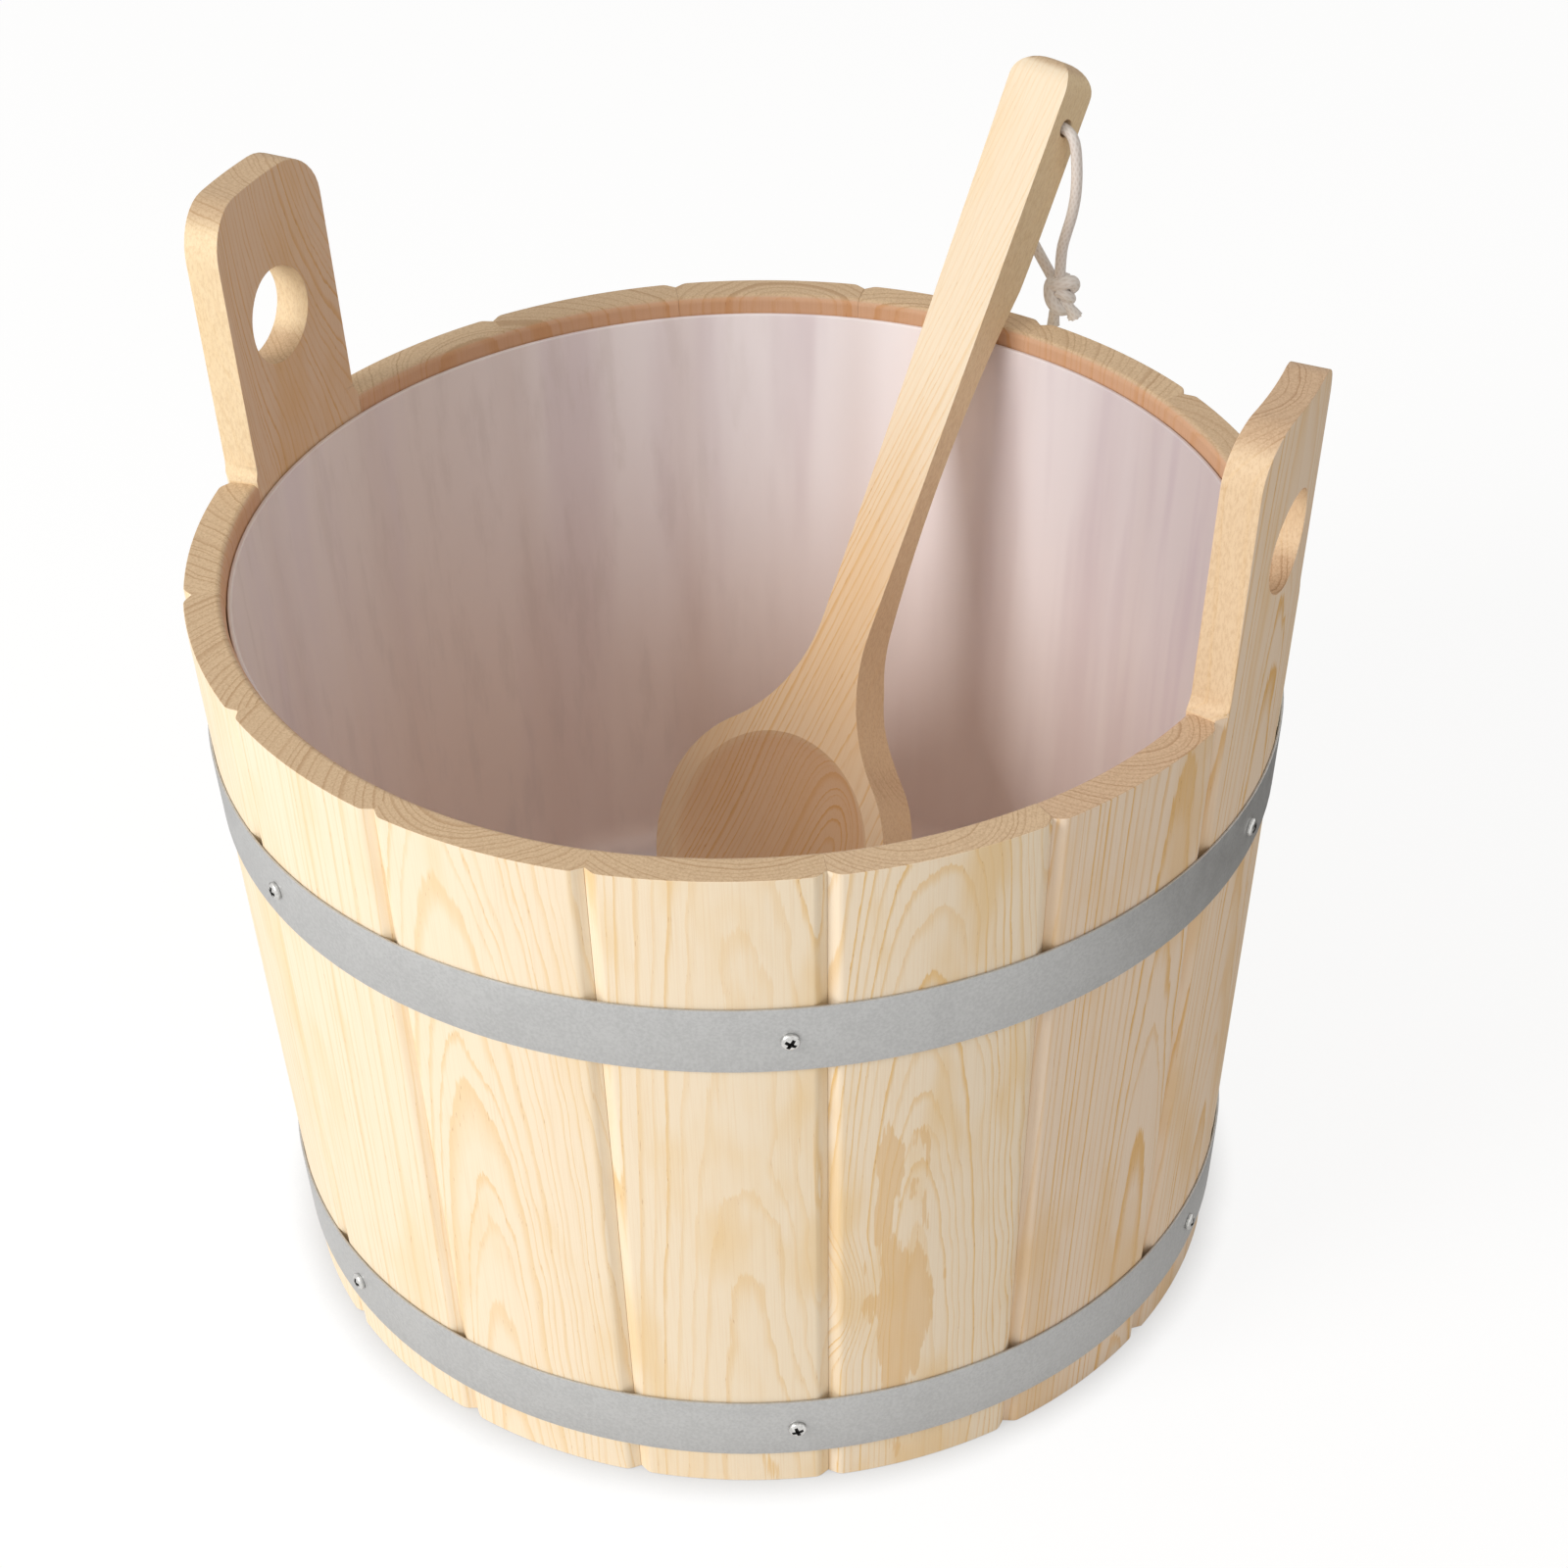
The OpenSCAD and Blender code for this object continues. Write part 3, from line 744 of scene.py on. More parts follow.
def stave_levels():
    """Heights and inside radii of the outlines, from the foot to the rim."""
    low = chime_height - croze_gap
    high = chime_height + plank_thick + croze_gap
    bed = bottom_radius + croze_gap
    inside = [outer_at(z) - wall for z in (0.0, low, high, rim_height)]
    croze = [(low, inside[1]), (low, bed), (high, bed), (high, inside[2])]
    return [(0.0, inside[0]), *croze, (rim_height, inside[3])]


def loft(outlines):
    """A closed solid, extruded step by step through outlines that have the same number of points."""
    bm = bmesh.new()
    ring = [bm.verts.new(point) for point in outlines[0]]
    edges = [bm.edges.new(pair) for pair in zip(ring, ring[1:] + ring[:1])]
    bm.faces.new(ring)
    for outline in outlines[1:]:
        order = {tuple(corner.co): index for index, corner in enumerate(ring)}
        grown = bmesh.ops.extrude_edge_only(bm, edges=edges)["geom"]
        for corner in grown:
            if isinstance(corner, bmesh.types.BMVert):
                ring[order[tuple(corner.co)]] = corner
        edges = [bm.edges.get(pair) for pair in zip(ring, ring[1:] + ring[:1])]
        for corner, point in zip(ring, outline):
            corner.co = point
    bm.faces.new(ring)
    bmesh.ops.remove_doubles(bm, verts=bm.verts, dist=weld_gap)
    bmesh.ops.recalc_face_normals(bm, faces=bm.faces)
    return bm


def sharp_edges(bm, angle=square_arris, test=lambda edge: True):
    """The edges where two faces turn by more than an angle in degrees."""
    limit = math.radians(angle)
    return [e for e in bm.edges if e.is_manifold and e.calc_face_angle() > limit and test(e)]


def ease_arris(bm, edges, width, rounds):
    bmesh.ops.bevel(
        bm, geom=edges, offset=width, offset_type="OFFSET", segments=rounds, profile=0.5, affect="EDGES",
        material=-1, clamp_overlap=True)


print("outline has", len(stave_outline(0.0, foot_radius - wall)), "points")

# %% [markdown]
# ### Plain staves
# Fourteen boards end at the rim. Hand work leaves them a hair uneven: a board may stand a few tenths of a
# millimetre lower than the next or sit a touch further in. Those offsets come from a seeded random
# generator, so that every run gives the same bucket. For the boards that face us, the heart of the log is
# given one by one, and one of them has a patch of resin and a branch beside it that bends its rings.

# %% Grain of the staves
stave_step = 360 / stave_count
stave_bearings = {"ear_stave_right": 0.0, "ear_stave_left": 180.0}
for number in range(1, 8):
    stave_bearings["stave_%02d" % number] = stave_step * number
    stave_bearings["stave_%02d" % (number + 7)] = 180 + stave_step * number

# heart_side, heart_depth, lean, ring gap and amber of the boards in front
front_grain = {
    "stave_09": (46, 30, 0.03, 2.6, 0.30),
    "stave_10": (58, 34, 0.04, 3.0, 0.42),
    "stave_11": (-12, 8, 0.08, 2.4, 0.52),
    "stave_12": (6, 42, 0.02, 1.7, 0.62),
    "stave_13": (-3, -1, 0.10, 1.9, 0.85),
    "stave_14": (16, 12, 0.04, 2.1, 1.0),
    "ear_stave_right": (2, 11, 0.05, 2.3, 0.95),
    "ear_stave_left": (-46, 147, -0.33, 2.0, 0.75),
}

# how much honey shows between the rings: the usual amount, and the boards that have another; on the boards
# whose seen faces lie in shade the extra honey is partly painted shade, the warmer tone of shaded wood
usual_honey = 0.35
stave_honey_and_shade = {
    "stave_12": 0.62, "stave_13": 0.8, "stave_14": 0.7, "ear_stave_right": 0.7, "ear_stave_left": 0.8,
}

# how dark the inner sides are, in shares of the full brown, which is partly steam browning and partly
# painted shade
stave_brown_and_shade = 1.0
ear_brown_and_shade = 0.58

# boards whose rings run straight up to this height in millimetres and swing only above it
straight_below = {"ear_stave_left": 262.0, "stave_13": 110.0}

# a board a little cooler than the rest, and boards on the right, turned away from the lamp, painted darker
# as shade
board_tint_and_shade = {
    "stave_13": (1.0, 1.0, 1.02), "stave_14": (0.95, 0.91, 0.94), "ear_stave_right": (0.95, 0.90, 0.91),
}

# a branch that bends the rings: side, height and strength; a resin patch: side, height and half sizes
stave_branch = {"stave_13": (-33.0, 86.0, 9.0)}
stave_resin = {"stave_13": (-8.0, 86.0, 11.0, 60.0)}


def stave_grain(name):
    chance = random.Random(name)
    side, depth = chance.uniform(-45, 45), chance.uniform(9, 34)
    made = (side, depth, chance.uniform(0.02, 0.1), chance.uniform(2.6, 4.2), 0.5)
    return front_grain.get(name, made)


def stave_finish(name, seed):
    bearing = math.radians(stave_bearings[name])
    turn = Matrix.Rotation(bearing, 3, "Z") @ Matrix.Rotation(flare, 3, "Y")
    corner = Matrix.Rotation(bearing, 3, "Z") @ Vector((foot_radius, 0.0, 0.0))
    return pine_finish(
        "pine_" + name, turn.transposed(), corner, seed, stave_grain(name),
        honey=stave_honey_and_shade.get(name, usual_honey), straight_to=straight_below.get(name, 0.0),
        inner_brown_and_shade=ear_brown_and_shade if name.startswith("ear") else stave_brown_and_shade,
        tint_and_shade=board_tint_and_shade.get(name, (1.0, 1.0, 1.0)), branch=stave_branch.get(name),
        resin=stave_resin.get(name))


print("grain placed by hand on", len(front_grain), "of", len(stave_bearings), "boards")

# %% Plain staves
stave_luck = random.Random(16)
most_inward = 0.25 * MM
most_lower = 0.5 * MM


def finish_board(bm, name, seed, inward, lower):
    turn = Matrix.Rotation(math.radians(stave_bearings[name]), 4, "Z")
    bmesh.ops.translate(bm, vec=(-inward, 0.0, 0.0), verts=bm.verts)
    bmesh.ops.translate(bm, vec=(0.0, 0.0, -lower), verts=[v for v in bm.verts if v.co.z > rim_height / 2])
    bmesh.ops.transform(bm, matrix=turn, verts=bm.verts)
    piece = make_piece(name + "_board", bm, "bucket", stave_finish(name, seed), (name,))
    piece.modifiers.new("even_shading", "WEIGHTED_NORMAL").keep_sharp = True
    return piece


def on_joint(corner):
    """True for a point on one of the planed edges that touch the next board."""
    return corner.co.x * math.sin(half_stave) - abs(corner.co.y) * math.cos(half_stave) < joint_gap * 2


def along_groove(edge):
    """True for the upright arris between a board's outer face and its chamfer."""
    low, high = edge.verts
    upright = abs(low.co.z - high.co.z) > MM
    return upright and all(abs(v.co.xy.length - outer_at(v.co.z)) < touch for v in edge.verts)


def at_level(height):
    """A test for edges at one height that run across a board's end."""
    def test(edge):
        level = all(abs(v.co.z - height) < touch for v in edge.verts)
        return level and not all(on_joint(v) for v in edge.verts)
    return test


def make_stave(name, seed):
    bm = loft([stave_outline(z, inside) for z, inside in stave_levels()])
    rim_inside = outer_at(rim_height) - wall

    def at_rim_inside(edge):
        return all(v.co.z > rim_height - MM and v.co.xy.length < rim_inside + MM for v in edge.verts)

    ease_arris(bm, sharp_edges(bm, square_arris, at_rim_inside), rim_round, 5)
    ease_arris(bm, sharp_edges(bm, chamfer_arris, along_groove), groove_ease, 3)
    for height in (0.0, rim_height):
        ease_arris(bm, sharp_edges(bm, square_arris, at_level(height)), end_ease, 2)
    inward = stave_luck.uniform(0.0, most_inward)
    return finish_board(bm, name, seed, inward, stave_luck.uniform(0.0, most_lower))


plain_staves = sorted(name for name in stave_bearings if name.startswith("stave"))
staves = [make_stave(name, seed) for seed, name in enumerate(plain_staves, 1)]
print(len(staves), "staves of", len(staves[0].data.polygons), "faces")

# %% [markdown]
# ### Ears
# Two boards rise past the rim as ears, with a finger hole through each. Below the rim an ear is like any
# other stave. Above it, the outline narrows in a small cove, runs straight and closes in two round
# corners, so the outlines simply go on upwards. The hole is drilled square to the slanted face by a
# Boolean. Its edges and the ear's arrises are rounded over, as fingers need.

# %% Ear outline
ear_top = 360 * MM
ear_half = 31 * MM
ear_round = 17 * MM
ear_cove = 5 * MM


def ear_half_at(z):
    if z < rim_height + ear_cove:
        rest = rim_height + ear_cove - z
        return ear_half + ear_cove - math.sqrt(max(0.0, ear_cove ** 2 - rest ** 2))
    over = max(0.0, z - (ear_top - ear_round))
    return ear_half - ear_round + math.sqrt(max(0.0, ear_round ** 2 - over ** 2))


def ear_heights():
    cove = [rim_height + ear_cove * part for part in (0.06, 0.2, 0.4, 0.68, 1.0)]
    corner = [math.radians(10 * step) for step in range(10)]
    return cove + [ear_top - ear_round * (1 - math.sin(angle)) for angle in corner]


print("an ear has", len(ear_heights()), "outlines above the rim")

# %% Drilled holes
drill_length = 60 * MM


def apply_boolean(name, bm, cutter):
    """Cuts one bmesh out of another and gives back the result."""
    made = []
    for label, source in ((name, bm), (name + "_cutter", cutter)):
        bmesh.ops.recalc_face_normals(source, faces=source.faces)
        mesh = bpy.data.meshes.new(label)
        source.to_mesh(mesh)
        source.free()
        made.append(bpy.data.objects.new(label, mesh))
        bpy.context.scene.collection.objects.link(made[-1])
    cut = made[0].modifiers.new("cut", "BOOLEAN")
    cut.operation = "DIFFERENCE"
    cut.solver = "EXACT"
    cut.object = made[1]
    seen = bpy.context.evaluated_depsgraph_get()
    result = bmesh.new()
    result.from_object(made[0], seen)
    for item in made:
        mesh = item.data
        bpy.data.objects.remove(item)
        bpy.data.meshes.remove(mesh)
    bmesh.ops.remove_doubles(result, verts=result.verts, dist=weld_gap)
    return result


def drill_through(name, bm, middle, turn, radius, sides, ease, rounds):
    """Drills a round hole through a piece and eases the arris at both of its mouths."""
    drill = bmesh.new()
    bmesh.ops.create_cone(
        drill, cap_ends=True, segments=sides, radius1=radius, radius2=radius, depth=drill_length,
        matrix=Matrix.Translation(middle) @ turn)
    bm = apply_boolean(name, bm, drill)
    axis = turn.to_3x3() @ Vector((0.0, 0.0, 1.0))

    def at_hole(edge):
        arms = [v.co - middle for v in edge.verts]
        return all(abs((arm - axis * arm.dot(axis)).length - radius) < touch for arm in arms)

    ease_arris(bm, sharp_edges(bm, square_arris, at_hole), ease, rounds)
    return bm


print("drill ready")

# %% Ears
finger_radius = 16.5 * MM
finger_height = 311 * MM
finger_sides = 64
finger_ease = 1.4 * MM
ear_ease = 1.3 * MM


def make_ear(name, seed):
    outlines = [stave_outline(z, inside) for z, inside in stave_levels()]
    outlines += [stave_outline(z, outer_at(z) - wall, ear_half_at(z)) for z in ear_heights()]
    bm = loft(outlines)
    above_cove = rim_height + ear_cove * 0.9

    def on_ear(edge):
        return all(v.co.z > above_cove for v in edge.verts)

    def below_ear(edge):
        return edge.verts[0].co.z < above_cove and along_groove(edge)

    ease_arris(bm, sharp_edges(bm, square_arris, on_ear), ear_ease, 3)
    ease_arris(bm, sharp_edges(bm, chamfer_arris, below_ear), groove_ease, 3)
    ease_arris(bm, sharp_edges(bm, square_arris, at_level(0.0)), end_ease, 2)
    middle = Vector((outer_at(finger_height) - wall / 2, 0.0, finger_height))
    turn = Matrix.Rotation(flare, 4, "Y") @ Matrix.Rotation(math.radians(90), 4, "Y")
    bm = drill_through(name, bm, middle, turn, finger_radius, finger_sides, finger_ease, 3)
    return finish_board(bm, name, seed, 0.0, 0.0)


ears = [make_ear("ear_stave_right", 21), make_ear("ear_stave_left", 22)]
print(len(ears), "ears of", len(ears[0].data.polygons), "faces")

# %% [markdown]
# ## Bottom
# Five planks lie side by side in the groove of the staves and close the bucket. They show from below, past
# the feet of the staves, and from above when the insert is out. They could be cut from a box with a round
# cutter, but slicing is cleaner: each starts as a disc, is sliced to its strip by two planes, gets its
# thickness by an extrusion and has its arrises eased.

# %% Bottom planks
plank_names = ["bottom_plank_%d" % number for number in range(1, 6)]
plank_ease = 0.8 * MM
disc_sides = 192


def make_plank(name, seed):
    low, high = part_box(name)
    bm = bmesh.new()
    bmesh.ops.create_circle(bm, cap_ends=True, segments=disc_sides, radius=bottom_radius)
    for edge, facing in ((low.y + joint_gap / 2, -1), (high.y - joint_gap / 2, 1)):
        everything = bm.verts[:] + bm.edges[:] + bm.faces[:]
        bmesh.ops.bisect_plane(
            bm, geom=everything, plane_co=(0, edge, 0), plane_no=(0, facing, 0), clear_outer=True)
    grown = bmesh.ops.extrude_face_region(bm, geom=bm.faces[:])["geom"]
    raised = [corner for corner in grown if isinstance(corner, bmesh.types.BMVert)]
    bmesh.ops.translate(bm, vec=(0, 0, high.z - low.z), verts=raised)
    bmesh.ops.translate(bm, vec=(0, 0, low.z), verts=bm.verts)
    ease_arris(bm, sharp_edges(bm), plank_ease, 2)
    axes = Matrix(((0.0, 0.0, 1.0), (0.0, 1.0, 0.0), (-1.0, 0.0, 0.0)))
    corner = Vector((0.0, (low.y + high.y) / 2, low.z))
    chance = random.Random(seed)
    grain = (chance.uniform(-30, 30), chance.uniform(12, 30), 0.04, 3.6, 0.55)
    finish = pine_finish("pine_" + name, axes, corner, seed, grain)
    piece = make_piece(name + "_board", bm, "bucket", finish, (name,))
    piece.modifiers.new("even_shading", "WEIGHTED_NORMAL").keep_sharp = True
    return piece


planks = [make_plank(name, seed) for seed, name in enumerate(plank_names, 31)]
print(len(planks), "planks")

# %% [markdown]
# ## Zinc
# Galvanised strip is a dull grey with cloudy spangle and faint rolling lines, neither mirror nor paint, so
# its finish is partly metal and fairly rough. One flat grey would look like paint, so noise of three sizes
# gives the clouds, the grain and the rolling lines. The screws are plated brighter and the recesses in
# their heads are painted dark as shade, so the same recipe takes other tones.


# %% Zinc finish
def zinc_finish(name, light, dark, metal, gloss, cloud_size):
    finish, tree, skin = new_finish(name)
    place = add_node(tree, "ShaderNodeTexCoord").outputs["Object"]
    cloud = noise(tree, stretch(tree, place, (1 / cloud_size,) * 3), 4.0, 0.65)
    grain = noise(tree, stretch(tree, place, (900, 900, 900)), 2.0, 0.6)
    rolled = noise(tree, stretch(tree, place, (18, 18, 900)), 2.0, 0.5)
    amount = calc(tree, "MULTIPLY_ADD", grain, 0.65, calc(tree, "MULTIPLY", cloud, 0.35))
    tone = mix_paint(tree, ease_between(tree, amount, 0.35, 0.65), dark, light)
    fill(tree, skin.inputs["Base Color"], tone)
    skin.inputs["Metallic"].default_value = metal
    fill(tree, skin.inputs["Roughness"], calc(tree, "MULTIPLY_ADD", cloud, 0.22, gloss))
    height = calc(tree, "MULTIPLY_ADD", rolled, 0.6, calc(tree, "MULTIPLY", grain, 0.4))
    fill(tree, skin.inputs["Normal"], bump(tree, height, 0.12, 0.1 * MM))
    return finish


strip_zinc = zinc_finish("strip_zinc", paint(196, 196, 195), paint(184, 184, 183), 0.65, 0.36, 9 * MM)
screw_zinc = zinc_finish("screw_zinc", paint(226, 225, 222), paint(198, 197, 194), 0.95, 0.18, 2 * MM)
# painted shade: the dark finish for the recesses in the screw heads
recess_shade_zinc = zinc_finish("recess_shade_zinc", paint(74, 72, 70), paint(46, 45, 44), 0.6, 0.4, 2 * MM)
print("finishes:", strip_zinc.name, screw_zinc.name, recess_shade_zinc.name)

# %% [markdown]
# ## Hoops
# Two strips are bent round the cone of the staves and hold them together. A flat strip could be bent by a
# modifier, but its section is the same all the way round, so the section is drawn once and spun round the
# axis. Its edges are eased, because sheared strip is never razor sharp.

# %% Hoops
strip_thick = 0.9 * MM
strip_ease = 0.22 * MM
hoop_gap = 0.1 * MM
hoop_steps = 160
seam_gap = 0.01 * MM


def spin_profile(points, axis, steps, closed=False):
    """A profile spun once round an axis and welded where it meets itself."""
    bm = bmesh.new()
    corners = [bm.verts.new(point) for point in points]
    onward = corners[1:] + corners[:1] if closed else corners[1:]
    edges = [bm.edges.new(pair) for pair in zip(corners, onward)]
    bmesh.ops.spin(
        bm, geom=corners + edges, cent=(0, 0, 0), axis=axis, angle=math.tau, steps=steps, use_merge=True)
    bmesh.ops.remove_doubles(bm, verts=bm.verts, dist=seam_gap)
    bmesh.ops.recalc_face_normals(bm, faces=bm.faces)
    return bm


def make_hoop(name):
    low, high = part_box(name)
    section = ((low.z, 0.0), (low.z, strip_thick), (high.z, strip_thick), (high.z, 0.0))
    points = [(outer_at(z) + hoop_gap + out, 0.0, z) for z, out in section]
    bm = spin_profile(points, (0, 0, 1), hoop_steps, closed=True)
    ease_arris(bm, sharp_edges(bm), strip_ease, 2)
    return make_piece(name + "_strip", bm, "bucket", strip_zinc, (name,))


hoops = [make_hoop(name) for name in ("upper_hoop", "lower_hoop")]
print(len(hoops), "hoops of", len(hoops[0].data.polygons), "faces")

# %% [markdown]
# ## Screws
# Six small screws with domed heads hold each hoop. A screw is a profile spun round its own axis, with a
# tapered cross cut into its dome by a Boolean. The cross could be painted on, but a real recess catches
# the light on its edges. One screw is copied round the hoop, and each copy is turned to an angle of its
# own, as driven screws are.

# %% Screws
screw_head_radius = 3.0 * MM
screw_head_height = 2.0 * MM
screw_rim = 0.7 * MM
screw_radius = 1.5 * MM
screw_length = 8.0 * MM
under_radius = 2.88 * MM
tip_radius = 0.9 * MM
dome_steps = 8
head_gap = 0.1 * MM
screw_seat = (hoop_gap + strip_thick) * math.cos(flare) + head_gap
cross_half_width = 0.62 * MM
cross_half_length = 2.05 * MM
cross_deep = 1.5 * MM
cross_narrow = 0.7
cross_wide = 1.3
cutter_length = 3 * MM
recess_from = 0.3 * MM
recess_under = 0.12 * MM
recess_reach = 0.9
screw_steps = 32
screw_count = 6
upper_screws_height = 203 * MM
lower_screws_height = 27.5 * MM
screw_luck = random.Random(6)


def cross_outline(x, scale):
    """The twelve corners of a cross, turned into place a quarter at a time."""
    wide, long = cross_half_width * scale, cross_half_length * scale
    points = []
    for turn in range(4):
        for y, z in ((wide, wide), (wide, long), (-wide, long)):
            points.append(Matrix.Rotation(math.radians(90 * turn), 3, "X") @ Vector((x, y, z)))
    return points


def screw_profile():
    """Distances along and from the axis, from the middle of the dome to the tip."""
    bulge = screw_head_height - screw_rim
    arc = [math.radians(90 / dome_steps * step) for step in range(dome_steps + 1)]
    dome = [(screw_rim + bulge * math.cos(a), screw_head_radius * math.sin(a)) for a in arc]
    shank = [(0.0, under_radius), (0.0, screw_radius), (-screw_length, tip_radius), (-screw_length, 0.0)]
    return dome + shank


def make_screw():
    """One domed screw along +X, with the underside of its head at the origin and a recess painted dark as
    shade.
    """
    bm = spin_profile([(x, r, 0.0) for x, r in screw_profile()], (1, 0, 0), screw_steps)
    deep = screw_head_height - cross_deep
    cutter = loft([cross_outline(deep, cross_narrow), cross_outline(deep + cutter_length, cross_wide)])
    bm = apply_boolean("screw", bm, cutter)
    for face in bm.faces:
        middle = face.calc_center_median()
        reach = math.hypot(middle.y, middle.z) / screw_head_radius
        skin = screw_rim + (screw_head_height - screw_rim) * math.sqrt(max(0.0, 1 - reach * reach))
        # faces inside the recess get the dark finish, painted shade
        if recess_from < middle.x < skin - recess_under and reach < recess_reach:
            face.material_index = 1
    return bm


def make_screws(name, z):
    one = bpy.data.meshes.new("one_screw")
    single = make_screw()
    single.to_mesh(one)
    single.free()
    bm = bmesh.new()
    for number in range(screw_count):
        known = len(bm.verts)
        bm.from_mesh(one)
        bm.verts.ensure_lookup_table()
        bearing = math.radians(360 / screw_count * number)
        place = Matrix.Rotation(bearing, 4, "Z") @ Matrix.Translation((outer_at(z), 0.0, z))
        place = place @ Matrix.Rotation(flare, 4, "Y") @ Matrix.Translation((screw_seat, 0.0, 0.0))
        place = place @ Matrix.Rotation(screw_luck.uniform(0.0, math.tau), 4, "X")
        bmesh.ops.transform(bm, matrix=place, verts=bm.verts[known:])
    bpy.data.meshes.remove(one)
    piece = make_piece(name + "_domed", bm, "bucket", screw_zinc, (name,), smooth_angle=35)
    piece.data.materials.append(recess_shade_zinc)
    return piece


screws = [
    make_screws("upper_hoop_screws", upper_screws_height),
    make_screws("lower_hoop_screws", lower_screws_height),
]
print(len(screws), "rows of screws of", len(screws[0].data.polygons), "faces")

# %% [markdown]
# ## Insert
# A thin milky liner stands inside the staves and holds the water. It is moulded in one shot, so it is a
# plain turned shape: a flat floor, a round corner and a wall that follows the staves. It could be a cone
# with a thickness added, but the round corner is easier to draw, so half of its profile is spun round the
# axis, inside and outside at once.

# %% Insert
insert_thick = 1.6 * MM
insert_gap = 0.45 * MM
insert_corner = 12 * MM
insert_ease = 0.5 * MM
insert_steps = 128


def insert_profile():
    low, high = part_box("insert")
    profile = []
    for skin, corner in ((0.0, insert_corner), (insert_thick, insert_corner - insert_thick)):
        def wall_at(z):
            return outer_at(z) - wall - insert_gap - skin
        floor = low.z + skin
        lift = corner * (1 + math.sin(flare))
        centre = Vector((wall_at(floor + lift) - corner * math.cos(flare), floor + corner))
        bend = [math.radians(-90) + (math.radians(90) - flare) * step / 6 for step in range(7)]
        half = [Vector((0.0, floor))]
        half += [centre + Vector((math.cos(a), math.sin(a))) * corner for a in bend]
        half.append(Vector((wall_at(high.z), high.z)))
        profile.append(half)
    return profile[0] + profile[1][::-1]


def make_insert(finish):
    bm = spin_profile([(point.x, 0.0, point.y) for point in insert_profile()], (0, 0, 1), insert_steps)
    ease_arris(bm, sharp_edges(bm), insert_ease, 3)
    return make_piece("insert_liner", bm, "insert", finish, ("insert",))


print("insert profile has", len(insert_profile()), "points")

# %% [markdown]
# ### Milky plastic
# The plastic lets the wood behind it through as a blur, so its tone changes board by board. Light could be
# sent through it, but then its tone would depend on the lamps. So the tone is painted by bearing, with
# the joints of the staves as soft darker bands. Clouds and streaks are laid over it, one layer after
# another, with painted light and shade: a lighter back wall, a darker right wall, darker mottles on the
# left wall and a browner tone low down.

# %% Milky plastic
milk_warm = paint(236, 222, 216)
milk_pale = paint(240, 229, 226)
# painted light: the back wall lighter
milk_back_light = paint(253, 246, 248)
milk_cloud = paint(230, 217, 221)
milk_joint = paint(220, 203, 197)
# painted shade: the right wall, which the lamp lights, darker
milk_right_shade = paint(198, 183, 183)
milk_streak = paint(192, 172, 182)
# painted shade: browner low down
milk_low_shade = paint(242, 217, 199)
# painted shade: darker mottles on the left wall
milk_left_shade = paint(204, 190, 184)
milk_floor = paint(236, 230, 231)


def milky_tone(tree, place):
    """The liner's colour, laid on in layers of tone and painted light and shade over a tone that changes
    board by board.
    """
    x, y, z = add_node(tree, "ShaderNodeSeparateXYZ", Vector=place).outputs
    bearing = calc(tree, "ARCTAN2", y, x)
    turn = calc(tree, "MULTIPLY_ADD", bearing, stave_count / math.tau, 0.5)
    joint = calc(tree, "ABSOLUTE", calc(tree, "SUBTRACT", calc(tree, "FRACT", turn), 0.5))
    joint = ease_between(tree, joint, 0.30, 0.5)
    board = add_node(tree, "ShaderNodeTexWhiteNoise", {"noise_dimensions": "1D"})
    fill(tree, board.inputs["W"], calc(tree, "FLOOR", turn))
    cloud = noise(tree, stretch(tree, place, (34, 34, 3.0)), 3.0)
    band = noise(tree, stretch(tree, place, (95, 95, 3.5)), 2.0)
    # a mottle for the painted shade on the left wall
    shade_mottle = noise(tree, stretch(tree, place, (120, 120, 22)), 6.0, 0.6)
    right = ease_between(tree, x, -0.02, 0.14)
    left = calc(tree, "MULTIPLY", ease_between(tree, x, -0.12, -0.03, 1.0, 0.0), 0.2)
    streaks = calc(tree, "MULTIPLY", ease_between(tree, band, 0.46, 0.70), right)
    low = ease_between(tree, z, 0.05, 0.24, 1.0, 0.0)
    layers = (
        # painted light on the back wall
        (ease_between(tree, y, 0.04, 0.14), milk_back_light),
        (ease_between(tree, cloud, 0.45, 0.70, 0.0, 0.7), milk_cloud),
        (calc(tree, "MULTIPLY", joint, 0.25), milk_joint),
        # painted shade on the right wall
        (calc(tree, "MULTIPLY", right, 0.85), milk_right_shade),
        (calc(tree, "MULTIPLY", streaks, 0.45), milk_streak),
        # painted shade low down
        (calc(tree, "MULTIPLY", low, 0.55), milk_low_shade),
        # painted shade on the left wall
        (calc(tree, "MULTIPLY", ease_between(tree, shade_mottle, 0.48, 0.68), left), milk_left_shade),
        (ease_between(tree, reach_of(tree, x, y), 0.135, 0.150, 1.0, 0.0), milk_floor),
    )
    tone = mix_paint(tree, board.outputs[0], milk_warm, milk_pale)
    for amount, colour in layers:
        tone = mix_paint(tree, amount, tone, colour)
    return tone


def milky_finish():
    finish, tree, skin = new_finish("milky_plastic")
    place = add_node(tree, "ShaderNodeTexCoord").outputs["Object"]
    fill(tree, skin.inputs["Base Color"], milky_tone(tree, place))
    haze = noise(tree, stretch(tree, place, (55, 55, 55)), 3.0)
    fill(tree, skin.inputs["Roughness"], calc(tree, "MULTIPLY_ADD", haze, 0.16, 0.28))
    skin.inputs["Specular IOR Level"].default_value = 0.45
    fill(tree, skin.inputs["Normal"], bump(tree, haze, 0.05, 0.2 * MM))
    return finish


insert = make_insert(milky_finish())
print("insert of", len(insert.data.polygons), "faces")

# %% [markdown]
# ## Ladle
# The ladle is sawn and turned from one board: a round bowl with a shallow hollow, a waist and a long
# handle that thins behind the waist. Its section changes all the way, so it is lofted along its length.
# Each outline has a front row of points, which dips into the hollow, and a back row, which follows the
# scooped back. The stations crowd together round the hollow's edge, so that the edge stays a clean circle.

